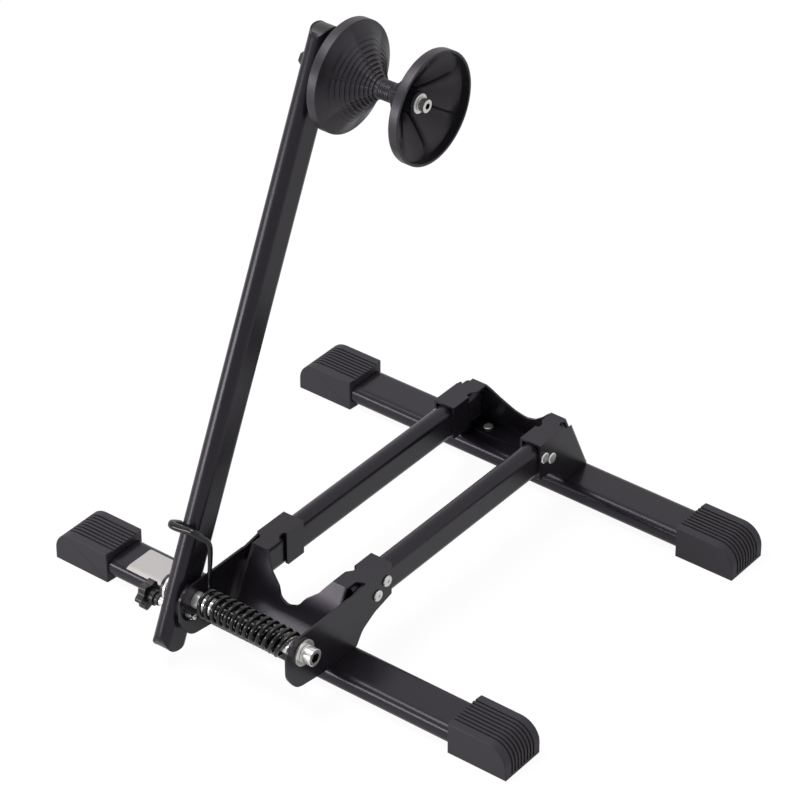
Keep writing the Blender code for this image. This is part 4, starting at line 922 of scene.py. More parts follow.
def cap_shape():
    """A right-hand foot cap, its inner lip at X = 0 and its middle at Y = 0."""
    half = CAP_WIDTH / 2
    outline = rounded([
        (-CAP_LIP_SAG, 0.0, 0.0),
        (CAP_LENGTH, 0.0, 0.0),
        (CAP_LENGTH, CAP_HEIGHT, CAP_END_ROUND),
        (-CAP_LIP_SAG, CAP_HEIGHT, 0.0),
    ])
    plan = rounded([
        (CAP_LENGTH + GAP, -half, 0.0),
        (CAP_LENGTH + GAP, half, 0.0),
        (CAP_LIP_SAG, half, CAP_LIP_ROUND),
        (0.0, half * CAP_LIP_BULGE_SHARE, CAP_LIP_BULGE_ROUND),
        (0.0, -half * CAP_LIP_BULGE_SHARE, CAP_LIP_BULGE_ROUND),
        (CAP_LIP_SAG, -half, CAP_LIP_ROUND),
    ])
    cap = folded(slab([outline], -half, half, FRONT), CAP_TOP_ROUND, cap_edge)
    cap = combined(cap, slab([plan], -GAP, CAP_HEIGHT + GAP, PLAN), "INTERSECT")
    cap = combined(cap, cap_grooves(), "DIFFERENCE")
    pocket = flat_oval(TUBE_WIDTH, TUBE_HEIGHT, TUBE_SHOULDER, GAP)
    pocket = slab([shifted(pocket, 0.0, TUBE_Z)], -CLEAR, CAP_LENGTH - CAP_END_WALL, SIDE)
    cap = combined(cap, pocket, "DIFFERENCE")
    return softened(cap, detail().moulded_round, angle=35.0)


def plate_run(lean):
    """How far a leaning plate travels along Y from its fold to its foot."""
    return (PLATE_TOP_Z - PLATE_FOOT_Z) * math.tan(lean)


def plate_foot_y(side):
    """Where a plate's outer face meets its base tube, front (-1) or rear (1)."""
    if side < 0:
        return FRONT_TOP_Y - plate_run(FRONT_LEAN)
    return REAR_TOP_Y + plate_run(REAR_LEAN) + SHEET / math.cos(REAR_LEAN)


def flange_screws(side):
    """Where the two screws stand in a bracket's foot flange, as (X, Y)."""
    x, inset = FRONT_FLANGE_SCREW if side < 0 else REAR_FLANGE_SCREW
    y = plate_foot_y(side) - side * inset
    return ((-x, y), (x, y))


def rail(side):
    """A flat oval rail between the two brackets."""
    section = tube_section(RAIL_WIDTH, RAIL_HEIGHT, RAIL_WIDTH / 2, RAIL_WALL, side * RAIL_X, RAIL_Z)
    low = FRONT_TOP_Y + SHEET / math.cos(FRONT_LEAN) + RAIL_END_GAP
    return slab(section, low, REAR_TOP_Y - RAIL_END_GAP, FRONT)


def wing_hole(side, diameter, place, steps=ROUND_STEPS):
    """Cutter for a hole along X through one wing, left (-1) or right (1)."""
    ends = (side * TAB_FOLD_X, side * WING_CUT_X)
    return rod(min(ends), max(ends), diameter, place, steps)


def screw_holes(places):
    """Cutters for the rail screws' clearance holes at (Y, Z) places in both wings."""
    diameter = SCREW_SHANK + 2 * GAP
    return [
        wing_hole(side, diameter, Vector((0.0, y, z)), HOLE_STEPS) for side in (-1, 1) for y, z in places]


def plate_section(ahead, behind, lean, bend):
    """Plan outline of the leaning plate, its bends and its wings, plate front at y = 0."""
    depth = SHEET / math.cos(lean)
    bend_x = WING_INNER_X - bend
    inner = []
    outer = []
    reach = math.pi / 2
    start = math.acos(bend / (bend + SHEET)) if behind > 0.0 else 0.0
    for step in range(BEND_STEPS + 1):
        turn = reach * (1 - step / BEND_STEPS)
        inner.append(Vector((bend_x + bend * math.cos(turn), -bend + bend * math.sin(turn))))
        turn = start + (reach - start) * step / BEND_STEPS
        x = bend_x + (bend + SHEET) * math.cos(turn)
        outer.append(Vector((x, -bend + (bend + depth) * math.sin(turn))))
    half = inner + [Vector((WING_INNER_X, -ahead)), Vector((WING_OUTER_X, -ahead))]
    if behind > 0.0:
        half = half + [Vector((WING_OUTER_X, behind)), Vector((WING_INNER_X, behind))]
    half = half + outer
    return half + [Vector((-point[0], point[1])) for point in reversed(half)]


def plate_face(scoop):
    """Front outline of a plate: its scoop, its fold edges and the reliefs beside them."""
    half = [(x, z, SCOOP_ROUND) for x, z in scoop]
    half += [
        (SCOOP_X, PLATE_TOP_Z, 0.0),
        (TAB_FOLD_X, PLATE_TOP_Z, 0.0),
        (TAB_FOLD_X, RELIEF_Z, RELIEF_ROUND),
        (WING_INNER_X, RELIEF_Z, 0.0),
        (WING_INNER_X, PLATE_TOP_Z, 0.0),
        (WING_CUT_X, PLATE_TOP_Z, 0.0),
        (WING_CUT_X, PLATE_FOOT_Z, 0.0),
    ]
    return rounded(half + [(-x, z, radius) for x, z, radius in reversed(half) if x > 0.0])


def bracket_core(section, scoop, wings, top_y, slope):
    """The leaning plate with its wings, cut to its side and front outlines."""
    sheet = slab([section], PLATE_FOOT_Z - CLEAR, PLATE_TOP_Z + CLEAR, PLAN)
    lean = Matrix.Identity(4)
    lean[1][2] = slope
    lean[1][3] = top_y - slope * PLATE_TOP_Z
    sheet.data.transform(lean)
    sheet = combined(sheet, slab([rounded(wings)], -WING_CUT_X, WING_CUT_X, SIDE), "INTERSECT")
    return combined(sheet, slab([plate_face(scoop)], -2 * TUBE_Y, 2 * TUBE_Y, FRONT), "INTERSECT")


def tab_flap(side, fold_y, end_y, shoulder_y):
    """Plan outline of the flap over one rail, with the notch beside its side tab."""
    toward = math.copysign(1.0, end_y - fold_y)
    near = end_y - toward * SIDE_TAB_WIDTH
    notch_x = side * (SCOOP_X + TAB_NOTCH_DEPTH)
    start = near - toward * TAB_NOTCH_LENGTH
    return rounded([
        (side * SCOOP_X, fold_y, 0.0),
        (side * TAB_FOLD_X, fold_y, 0.0),
        (side * TAB_FOLD_X, shoulder_y, SHOULDER_ROUND),
        (side * WING_OUTER_X, shoulder_y + toward * SHOULDER_STEP, 0.0),
        (side * WING_OUTER_X, end_y, 0.0),
        (side * TAB_INNER_X, end_y, 0.0),
        (side * TAB_INNER_X, near, 0.0),
        (notch_x, near, TAB_NOTCH_ROUND),
        (notch_x, start + toward * TAB_NOTCH_LENGTH / 2, TAB_NOTCH_ROUND),
        (side * SCOOP_X, start, TAB_NOTCH_ROUND),
    ])


def tabs(fold_y, end_y, shoulder_y):
    """The two flaps folded over the rails, and the flaps down their inner sides."""
    shapes = []
    toward = math.copysign(1.0, end_y - fold_y)
    near = end_y - toward * SIDE_TAB_WIDTH
    for side in (-1, 1):
        flap = slab([tab_flap(side, fold_y, end_y, shoulder_y)], PLATE_TOP_Z - SHEET, PLATE_TOP_Z, PLAN)
        drop = rounded([
            (end_y, PLATE_TOP_Z - SHEET / 2, 0.0),
            (end_y, SIDE_TAB_FOOT_Z, TAB_CORNER),
            (near, SIDE_TAB_FOOT_Z, SIDE_TAB_ROUND),
            (near, PLATE_TOP_Z - SHEET / 2, 0.0),
        ])
        edges = (side * TAB_INNER_X, side * (TAB_INNER_X + SHEET))
        drop = slab([drop], min(edges), max(edges), SIDE)
        shapes.append(combined(flap, drop, "UNION"))
    return gathered(shapes)


def flange(side):
    """The plate's foot, folded flat on the base tube, with its screw holes."""
    half, depth = FRONT_FLANGE if side < 0 else REAR_FLANGE
    far = plate_foot_y(side) - side * depth
    near = plate_foot_y(side) - side * SHEET / 2
    outline = rounded([
        (half, near, 0.0),
        (half - FLANGE_TAPER, far, FLANGE_ROUND),
        (-half + FLANGE_TAPER, far, FLANGE_ROUND),
        (-half, near, 0.0),
    ])
    radius = SCREW_SHANK / 2 + GAP
    holes = [circle(x, y, radius, HOLE_STEPS) for x, y in flange_screws(side)]
    return slab([outline] + holes, PLATE_FOOT_Z, PLATE_FOOT_Z + SHEET, PLAN)


def lock_slot():
    """Cutter for the arc that the lock's stud travels in the left wing."""
    offset = LOCK - PIVOT
    radius = math.hypot(offset.y, offset.z)
    rest = math.atan2(offset.z, offset.y)
    half_width = LOCK_STUD / 2 + 2 * GAP
    first = rest - LOCK_SWING_DOWN
    last = rest + LOCK_SWING_BACK
    steps = 40
    end_steps = 12
    centre = Vector((PIVOT_Y, PIVOT_Z))
    points = []
    for reach, begin, finish in ((radius + half_width, first, last), (radius - half_width, last, first)):
        for step in range(steps + 1):
            angle = begin + (finish - begin) * step / steps
            points.append(centre + reach * Vector((math.cos(angle), math.sin(angle))))
        turn = 0.0 if reach > radius else math.pi
        end = centre + radius * Vector((math.cos(finish), math.sin(finish)))
        for step in range(1, end_steps):
            angle = finish + turn + math.pi * step / end_steps
            points.append(end + half_width * Vector((math.cos(angle), math.sin(angle))))
    return slab([points], -WING_CUT_X, -TAB_FOLD_X, SIDE)


def bracket_trim(corners):
    """Cutters for the corners beside a bracket's folds, from a side outline."""
    outline = [Vector(corner) for corner in corners]
    spans = ((-WING_CUT_X, -TAB_FOLD_X - RELIEF_ROUND / 2), (TAB_FOLD_X + RELIEF_ROUND / 2, WING_CUT_X))
    return gathered([slab([outline], low, high, SIDE) for low, high in spans])


def fold_test(fold_y, end_y):
    """Test for edges on the folds between a plate, its flaps, their side tabs and wings."""
    near_zero = 0.0002

    def on_fold(middle, along):
        if abs(middle.z - PLATE_TOP_Z) > near_zero:
            return False
        across = abs(along.y) < near_zero and abs(middle.y - fold_y) < near_zero
        lengthwise = abs(along.x) < near_zero and abs(along.y) > near_zero
        beyond = (middle.y - end_y) * (fold_y - end_y) > 0
        edge = abs(abs(middle.x) - TAB_INNER_X) < near_zero or abs(abs(middle.x) - WING_OUTER_X) < near_zero
        return across and abs(middle.x) > SCOOP_X or lengthwise and edge and beyond

    return on_fold


def bracket(side, core, trim, fold_y, tab_end, shoulder_y, holes):
    """Trim a core, add its foot and tabs, cut its holes, and round its folds and edges."""
    core = combined(core, bracket_trim(trim), "DIFFERENCE")
    core = combined(core, flange(side), "UNION")
    core = combined(core, tabs(fold_y, tab_end, shoulder_y), "UNION")
    core = combined(core, gathered(holes), "DIFFERENCE")
    core = folded(core, detail().fold_round, fold_test(fold_y, tab_end))
    return softened(core, detail().edge_round)


def front_bracket():
    """Front bracket: plate, ears for the hinge, rail tabs and foot flange."""
    edge_y = FRONT_TOP_Y - FRONT_CORNER
    shoulder_y = FRONT_TOP_Y + FRONT_SHOULDER
    fold_z = PLATE_TOP_Z - SHEET / 2
    wings = [
        (FRONT_TAB_END, fold_z, 0.0),
        (FRONT_TAB_END, FRONT_WING_FOOT_Z, TAB_CORNER),
        *FRONT_WING_EDGE,
        (-TUBE_Y + TUBE_WIDTH / 2 - WING_FOOT_INSET, PLATE_FOOT_Z, 0.0),
        (-TUBE_Y - TUBE_WIDTH / 2 - FRONT_EAR_OVERHANG, PLATE_FOOT_Z, FRONT_EAR_ROUND),
        *FRONT_EAR,
        (edge_y, FRONT_EAR[-1][1], 0.0),
        (edge_y, PLATE_TOP_Z, 0.0),
        (shoulder_y, PLATE_TOP_Z, 0.0),
        (shoulder_y, fold_z, 0.0),
    ]
    trim = (
        (edge_y - SHEET, WING_CORNER_Z),
        (edge_y + SHEET, WING_CORNER_Z),
        (shoulder_y + SHOULDER_STEP, PLATE_TOP_Z - SHEET),
        (shoulder_y + SHOULDER_STEP, PLATE_TOP_Z + CLEAR),
        (edge_y - SHEET, PLATE_TOP_Z + CLEAR),
    )
    section = plate_section(*FRONT_WING_REACH, FRONT_LEAN, FRONT_BEND)
    core = bracket_core(section, FRONT_SCOOP, wings, FRONT_TOP_Y, math.tan(FRONT_LEAN))
    anchor = PIVOT - Vector((0.0, 0.0, SPRING_RADIUS))
    holes = screw_holes(FRONT_SCREWS)
    holes += [wing_hole(side, PIVOT_DIAMETER + 2 * GAP, PIVOT) for side in (-1, 1)]
    holes += [wing_hole(1, SPRING_WIRE + 4 * GAP, anchor, HOLE_STEPS), lock_slot()]
    return bracket(-1, core, trim, FRONT_TOP_Y, FRONT_TAB_END, shoulder_y, holes)


def rear_bracket():
    """Rear bracket: plate, wings, rail tabs and foot flange."""
    edge_y = REAR_TOP_Y - REAR_CORNER
    fold_y = REAR_TOP_Y + SHEET
    fold_z = PLATE_TOP_Z - SHEET / 2
    behind = plate_foot_y(1) + 2 * CLEAR
    wings = [
        (REAR_TAB_END, fold_z, 0.0),
        (REAR_TAB_END, REAR_WING_FOOT_Z, TAB_CORNER),
        *REAR_WING_EDGE,
        (TUBE_Y - TUBE_WIDTH / 2 + WING_FOOT_INSET, PLATE_FOOT_Z, 0.0),
        (behind, PLATE_FOOT_Z, 0.0),
        (behind, PLATE_TOP_Z, 0.0),
        (edge_y, PLATE_TOP_Z, 0.0),
        (edge_y - SHEET / 2, fold_z, 0.0),
    ]
    trim = (
        (edge_y - SHEET, PLATE_TOP_Z - SHEET),
        (edge_y + SHEET / 2, WING_CORNER_Z),
        (behind, WING_CORNER_Z),
        (behind, PLATE_TOP_Z + CLEAR),
        (edge_y - SHEET, PLATE_TOP_Z + CLEAR),
    )
    section = plate_section(*REAR_WING_REACH, REAR_LEAN, REAR_BEND)
    core = bracket_core(section, REAR_SCOOP, wings, REAR_TOP_Y, -math.tan(REAR_LEAN))
    return bracket(1, core, trim, fold_y, REAR_TAB_END, fold_y - REAR_SHOULDER, screw_holes(REAR_SCREWS))


def screw_shape(diameter):
    """A pan-head screw along X, its head's underside at X = 0 and its shank toward -X."""
    head = diameter / 2
    high = SCREW_HEAD_HEIGHT
    profile = [
        (-SCREW_LENGTH, 0.0), (-SCREW_LENGTH, SCREW_SHANK / 2), (0.0, SCREW_SHANK / 2),
        (0.0, head - RIM), (RIM, head), (high * PAN_RIM, head),
    ]
    for step in range(1, DOME_STEPS + 1):
        turn = math.pi / 2 * step / DOME_STEPS
        radius = head * (PAN_FLAT + (1 - PAN_FLAT) * math.cos(turn))
        profile.append((high * (PAN_RIM + PAN_DOME * math.sin(turn)), radius))
    profile.append((high, 0.0))
    screw = turned(profile, 40, closed=False)
    for wide, tall in ((RECESS_WIDTH, RECESS_SLOT), (RECESS_SLOT, RECESS_WIDTH)):
        recess = slab([flat_oval(wide, tall, RECESS_ROUND)], high - RECESS_DEPTH, high + PAST, SIDE)
        screw = combined(screw, recess, "DIFFERENCE")
    return screw


def cap_screw(head, height, socket, shank, seat_x, tip_x, place):
    """A socket-head bolt along X: head on the right of its seat, shank to the left."""
    end_x = seat_x + height
    soft = BOLT_CHAMFER * SOFT_SHARE
    profile = [
        (tip_x, 0.0),
        (tip_x, shank / 2 - BOLT_CHAMFER),
        (tip_x + BOLT_CHAMFER, shank / 2),
        (seat_x, shank / 2),
        (seat_x, head / 2 - RIM),
        (seat_x + RIM, head / 2),
        (end_x - BOLT_CHAMFER, head / 2),
        (end_x - soft, head / 2 - soft),
        (end_x, head / 2 - BOLT_CHAMFER),
        (end_x, 0.0),
    ]
    recess = slab([hexagon(socket)], seat_x + height / 2, end_x + PAST, SIDE)
    return placed(combined(turned(profile, closed=False), recess, "DIFFERENCE"), place)


def in_socket(place, axis, socket, seat_x, height):
    """Whether a place is inside the hexagon socket of a bolt's head."""
    offset = place - axis
    near_zero = 0.0001
    inside = math.hypot(offset.y, offset.z) < socket / math.sqrt(3) - near_zero
    return inside and seat_x < place.x < seat_x + height - near_zero


def bolt_piece(name, sizes, seat_x, tip_x, axis, body, cad_node):
    """A named socket-head bolt of (head, height, socket, shank), with painted shade in its socket."""
    head, height, socket, shank = sizes
    bolt = cap_screw(head, height, socket, shank, seat_x, tip_x, axis)
    bolt = piece(name, bolt, "zinc", body, [cad_node])
    # Painted shade: the faces inside the socket get a dark finish
    second_finish(bolt, "dark_and_socket_shade", lambda place: in_socket(place, axis, socket, seat_x, height))


def ring_piece(name, low, high, outer, bore, axis, body, cad_node, finish="zinc"):
    """A named washer, bush, collar or spacer."""
    piece(name, ring(low, high, outer, bore, axis), finish, body, [cad_node])


def sleeve_shape(bore):
    """The sleeve on the hinge bolt, with rings of edges where its finish changes."""
    outer = SLEEVE_DIAMETER / 2
    end = WING_INNER_X - GAP
    stops = (-end, SLEEVE_SHADE_FROM, SLEEVE_SHADE_TO, end)
    profile = [(-end, bore / 2)] + [(x, outer) for x in stops] + [(end, bore / 2)]
    return placed(turned(profile), PIVOT)


def end_nut_shape(end_x, seat_x, bore):
    """The round nut on the hinge bolt's end: domed outside, with a shallow recess."""
    outer = END_NUT_DIAMETER / 2
    rise, inset = END_NUT_DOME
    profile = [(end_x, 0.0), (end_x, outer - inset)]
    for step in range(1, DOME_STEPS + 1):
        turn = math.pi / 2 * step / DOME_STEPS
        profile.append((end_x + rise * (1 - math.cos(turn)), outer - inset * (1 - math.sin(turn))))
    profile += [(seat_x - RIM, outer), (seat_x, outer - RIM), (seat_x, bore / 2),
                (end_x + END_NUT_RECESS, bore / 2), (end_x + END_NUT_RECESS, 0.0)]
    return placed(turned(profile, closed=False), PIVOT)


def arm_frame():
    """Turns outlines along the arm, from the pivot, into the working frame."""
    return Matrix((
        (0.0, 0.0, 1.0, 0.0),
        (ARM_ALONG.y, ARM_FRONT.y, 0.0, PIVOT_Y),
        (ARM_ALONG.z, ARM_FRONT.z, 0.0, PIVOT_Z),
        (0.0, 0.0, 0.0, 1.0),
    ))


def arm_outline(grow=0.0):
    """Side outline of the arm: long, with round ends."""
    half = ARM_DEPTH / 2 + grow
    ends = ((-ARM_TAIL - half, -half), (ARM_REACH + ARM_TOP + half, -half),
            (ARM_REACH + ARM_TOP + half, half), (-ARM_TAIL - half, half))
    return rounded([(x, y, half * NEARLY) for x, y in ends])


def along_arm(outlines):
    """A tube of the arm's section, along the whole arm and a little further."""
    low = -ARM_TAIL - ARM_DEPTH
    high = ARM_REACH + ARM_TOP + ARM_DEPTH
    section = Matrix(((0, 0, 1, 0), (0, 1, 0, 0), (1, 0, 0, ARM_X), (0, 0, 0, 1)))
    return slab(outlines, low, high, arm_frame() @ section)


def trimmed_arm(shape, outline):
    """What a shape in the arm shares with a side outline."""
    side = slab([outline], ARM_OUTER_X - PAST, ARM_INNER_X + PAST, arm_frame())
    return combined(shape, side, "INTERSECT")


def arm_tube():
    """The arm's tube with the holes for its bushes and the lock's stud."""
    section = tube_section(ARM_WIDTH, ARM_DEPTH, ARM_WIDTH / 2, ARM_WALL, 0.0, 0.0)
    tube = trimmed_arm(along_arm(section), arm_outline())
    low = ARM_OUTER_X - PAST
    high = ARM_INNER_X + PAST
    holes = [
        rod(low, high, PIVOT_BUSH + 2 * GAP, PIVOT),
        rod(low, high, AXLE_BUSH + 2 * GAP, AXLE),
        rod(low, high, LOCK_STUD + 4 * GAP, LOCK, steps=32),
    ]
    return combined(tube, gathered(holes), "DIFFERENCE")


def arm_plug(start, stop):
    """A plug in the arm's tube between two distances from the pivot."""
    section = flat_oval(ARM_WIDTH, ARM_DEPTH, ARM_WIDTH / 2, -ARM_WALL - GAP)
    plug = trimmed_arm(along_arm([section]), arm_outline(-GAP))
    return trimmed_arm(plug, box_outline(start, stop, -ARM_DEPTH, ARM_DEPTH))


def smooth_route(points, spacing):
    """Points about one spacing apart on a smooth curve through a route."""
    route = [points[0] * 2 - points[1]] + points + [points[-1] * 2 - points[-2]]
    result = [points[0]]
    for index in range(1, len(route) - 2):
        a, b, c, d = route[index - 1:index + 3]
        steps = max(1, round((c - b).length / spacing))
        for step in range(1, steps + 1):
            t = step / steps
            curve = b * 2 + (c - a) * t + (a * 2 - b * 5 + c * 4 - d) * t * t
            curve = curve + (b * 3 - a - c * 3 + d) * t * t * t
            result.append(curve / 2)
    return result


def coil_point(part):
    """The wire's centre at a share of the coils' length, bowed and fanned out as under load."""
    turn = SPRING_START - 2 * math.pi * SPRING_TURNS * part
    y = SPRING_RADIUS * math.cos(turn)
    z = SPRING_RADIUS * math.sin(turn)
    slant = SPRING_SLANT_LEFT + (SPRING_SLANT_RIGHT - SPRING_SLANT_LEFT) * part
    x = SPRING_LEFT_X + (SPRING_RIGHT_X - SPRING_LEFT_X) * part + slant * z
    rise = SPRING_BOW * 4 * part * (1 - part) + SPRING_DROP * (1 - 2 * part)
    return Vector((x, PIVOT_Y + y, PIVOT_Z + z + rise))


def spring_route():
    """Centre line of the spring's wire: left leg, coils and right leg."""
    count = round(SPRING_TURNS * detail().coil_points)
    coils = [coil_point(step / count) for step in range(count + 1)]
    clear = LEG_SLEEVE / 2 + GAP
    face = PIVOT + ARM_ALONG * LEG_HEIGHT + ARM_FRONT * (ARM_DEPTH / 2 + clear)
    side_x = ARM_OUTER_X - clear - LEG_HOOK_OUT
    hook = face - ARM_FRONT * LEG_HOOK - ARM_ALONG * LEG_HOOK_DROP
    outside = Vector((side_x, face.y, face.z))
    inside = Vector((ARM_INNER_X, face.y, face.z))
    coil_top = Vector((SPRING_LEFT_X, PIVOT_Y, PIVOT_Z + SPRING_RADIUS))
    leg = [
        Vector((side_x, hook.y, hook.z)),
        outside + Vector(LEG_OUTER_BEND),
        outside + Vector(LEG_OUTER_EDGE),
        Vector((ARM_X, face.y, face.z)) + Vector(LEG_MIDDLE),
        inside + Vector(LEG_INNER_EDGE),
        inside + Vector(LEG_INNER_BEND),
        Vector((ARM_INNER_X, PIVOT_Y, face.z)) + Vector(LEG_DROP),
        coil_top + Vector(LEG_SHIN),
        coil_top + Vector(LEG_FOOT),
    ]
    end = coils[-1]
    right_leg = [end]
    for ahead, degrees in RIGHT_LEG_BENDS:
        turn = math.radians(degrees)
        y = PIVOT_Y + SPRING_RADIUS * math.cos(turn)
        right_leg.append(Vector((end.x + ahead, y, PIVOT_Z + SPRING_RADIUS * math.sin(turn))))
    right_leg.append(Vector((WING_OUTER_X - GAP, PIVOT_Y, PIVOT_Z - SPRING_RADIUS)))
    spacing = SPRING_WIRE * detail().leg_spacing
    start = smooth_route(leg + [coils[0], coils[4]], spacing)
    beyond = max(1, round((coils[4] - coils[0]).length / spacing))
    finish = smooth_route(right_leg, spacing)
    return start[:-beyond - 1] + coils + finish[1:]


def sleeved(points):
    """Radius at each of the wire's points: thick over the arm, then thinning down its leg."""
    sizes = []
    top = PIVOT_Z + LEG_HEIGHT
    for point in points:
        down = (top - LEG_THIN_FROM - point.z) / LEG_THIN_LENGTH
        over_arm = point.x < ARM_INNER_X + LEG_FULL_REACH and point.z > top - LEG_FULL_DROP
        share = 1.0 if over_arm else max(0.0, LEG_THIN_SHARE * (1.0 - down))
        sizes.append(SPRING_WIRE / 2 + (LEG_SLEEVE - SPRING_WIRE) / 2 * min(1.0, share))
    return sizes


def round_ended(points, sizes):
    """The wire's points and radii with more at both ends, where it closes in a dome."""
    first = (points[0] - points[1]).normalized() * sizes[0] * WIRE_BULGES[0]
    last = (points[-1] - points[-2]).normalized() * sizes[-1] * WIRE_BULGES[1]
    centres = list(points)
    radii = list(sizes)
    for step in range(1, WIRE_END_STEPS + 1):
        turn = math.pi / 2 * step / (WIRE_END_STEPS + 1)
        centres = [points[0] + first * math.sin(turn)] + centres + [points[-1] + last * math.sin(turn)]
        radii = [sizes[0] * math.cos(turn)] + radii + [sizes[-1] * math.cos(turn)]
    return centres, radii


def wire(points, sizes, steps):
    """A round closed wire along points, each with its own radius, with round ends."""
    centres, radii = round_ended(points, sizes)
    vertices = []
    across = (centres[1] - centres[0]).orthogonal()
    for index, centre in enumerate(centres):
        before = centres[max(index - 1, 0)]
        after = centres[min(index + 1, len(centres) - 1)]
        along = (after - before).normalized()
        across = (across - along * across.dot(along)).normalized()
        other = along.cross(across)
        for step in range(steps):
            turn = 2 * math.pi * step / steps
            vertices.append(centre + (across * math.cos(turn) + other * math.sin(turn)) * radii[index])
    faces = quads(len(centres), steps, closed=False)
    faces.append(tuple(reversed(range(steps))))
    faces.append(tuple(range(len(vertices) - steps, len(vertices))))
    return settled(mesh_of(vertices, faces), flatten=False)


def knob_shape(hub_x):
    """The star knob with its stepped hub and blind bore."""
    head_x = hub_x - KNOB_HUB_LENGTH
    end_x = head_x - PAST
    profile = [
        (hub_x, 0.0),
        (hub_x, KNOB_NECK / 2 - KNOB_NECK_EDGE),
        (hub_x - KNOB_NECK_EDGE, KNOB_NECK / 2),
        (hub_x - KNOB_HUB_LENGTH * KNOB_NECK_SHARE, KNOB_NECK / 2),
        (hub_x - KNOB_HUB_LENGTH * KNOB_STEP_SHARE, KNOB_HUB / 2),
        (end_x, KNOB_HUB / 2),
        (end_x, 0.0),
    ]
    hub = turned(profile, closed=False)
    star = []
    for step in range(STAR_STEPS):
        turn = 2 * math.pi * step / STAR_STEPS
        radius = KNOB_RADIUS + KNOB_LOBE * math.cos(KNOB_LOBES * turn)
        star.append(Vector((radius * math.cos(turn), radius * math.sin(turn))))
    head = softened(slab([star], head_x - KNOB_HEAD, head_x, SIDE), KNOB_EDGE, segments=3, angle=50.0)
    knob = placed(combined(head, hub, "UNION"), LOCK)
    bore_end = hub_x - KNOB_HUB_LENGTH * KNOB_BORE_SHARE - GAP
    return combined(knob, rod(bore_end, hub_x + PAST, LOCK_STUD + 2 * GAP, LOCK, steps=40), "DIFFERENCE")


def stud_shape(hub_x, tip_x):
    """The lock's stud, from inside the knob to its rounded tip."""
    start = hub_x - KNOB_HUB_LENGTH * KNOB_BORE_SHARE
    profile = [(start, 0.0), (start, LOCK_STUD / 2), (-WING_OUTER_X, LOCK_STUD / 2)]
    profile += [(tip_x - back, LOCK_STUD / 2 - inset) for back, inset in LOCK_TIP_ROUND]
    return placed(turned(profile + [(tip_x, 0.0)], closed=False), LOCK)


def flare_radius(part, low, high):
    """Radius on the hollow curve from the neck (0) out to the rim (1)."""
    return low + (high - low) * part - 4 * FLARE_SAG * part * (1 - part)


def plain(points):
    """Profile points of a cone that no step, rib or crease moves."""
    return [(x, radius, 0.0, 0.0, 0.0) for x, radius in points]


def flank_point(part, cut):
    """A point on the cone's outer flank: crease depth is greatest halfway out."""
    x = NECK_LENGTH + (CONE_FACE_X - CONE_BAND - NECK_LENGTH) * part
    radius = flare_radius(part, NECK_RADIUS, CONE_RADIUS - FLANK_INSET)
    return (x, radius, cut, 0.0, math.sqrt(max(0.0, math.sin(math.pi * part))))


def cone_outside():
    """Profile of a cone's outside: end face, neck with grooves, stepped flank and rim."""
    rim_start = CONE_FACE_X - CONE_BAND
    points = plain([(0.0, AXLE_DIAMETER / 2 + GAP), (0.0, NECK_RADIUS - RIM), (RIM, NECK_RADIUS)])
    for share in NECK_GROOVES:
        groove = NECK_LENGTH * share
        points += plain([
            (groove - 3 * RIM, NECK_RADIUS), (groove - 2 * RIM, NECK_RADIUS - 2 * RIM),
            (groove - RIM, NECK_RADIUS - 2 * RIM), (groove, NECK_RADIUS),
        ])
    count = detail().step_count
    for index in range(count):
        fade = min(1.0, 2.0 * (1.0 - index / count))
        for inside, cut in FLANK_STEP:
            part = FLANK_STEPS_FROM + FLANK_STEPS_SPAN * (index + inside) / count
            points.append(flank_point(part, cut * fade))
    points += [flank_point(part, 0.0) for part in FLANK_SMOOTH_PARTS]
    return points + plain([
        (rim_start + RIM, CONE_RADIUS - RIM),
        (rim_start + 4 * RIM, CONE_RADIUS),
        (CONE_FACE_X - 3 * RIM, CONE_RADIUS),
        (CONE_FACE_X - RIM, CONE_RADIUS - RIM),
        (CONE_FACE_X, CONE_RADIUS - 3 * RIM),
    ])


def cone_inside():
    """Profile of a cone's inside: rim, cup wall with ribs, and hub."""
    rim_inner = CONE_RADIUS - CONE_WALL
    points = plain([(CONE_FACE_X, rim_inner + 2 * RIM), (CONE_FACE_X - 2 * RIM, rim_inner)])
    start_x = NECK_LENGTH + CONE_WALL * HUB_WALLS
    end_x = CONE_FACE_X - CONE_BAND + CONE_WALL * RIM_WALLS
    for step in range(CUP_STEPS + 1):
        part = 1 - step / CUP_STEPS
        radius = flare_radius(part, NECK_RADIUS, rim_inner)
        if radius > HUB_RADIUS + RIM:
            lift = min(1.0, RIB_RIM_RISE * step / CUP_STEPS) * min(1.0, (radius - HUB_RADIUS) / RIB_FADE)
            points.append((start_x + (end_x - start_x) * part, radius, 0.0, lift, 0.0))
    return points + plain([
        (points[-1][0] - RIM, HUB_RADIUS),
        (HUB_FACE_X - 2 * RIM, HUB_RADIUS),
        (HUB_FACE_X, HUB_RADIUS - 2 * RIM),
        (HUB_FACE_X, AXLE_DIAMETER / 2 + GAP),
    ])


def cone_turns():
    """Angles round a cone with how far each is from a rib, closer together near the ribs."""
    half = 180.0 / ROLLER_RIBS
    offsets = [-value for value in reversed(RIB_OFFSETS)] + [0.0, *RIB_OFFSETS, half]
    ribs = [RIB_START + math.radians(2 * half * index) for index in range(ROLLER_RIBS)]
    return [(rib + math.radians(offset), abs(offset)) for rib in ribs for offset in offsets]


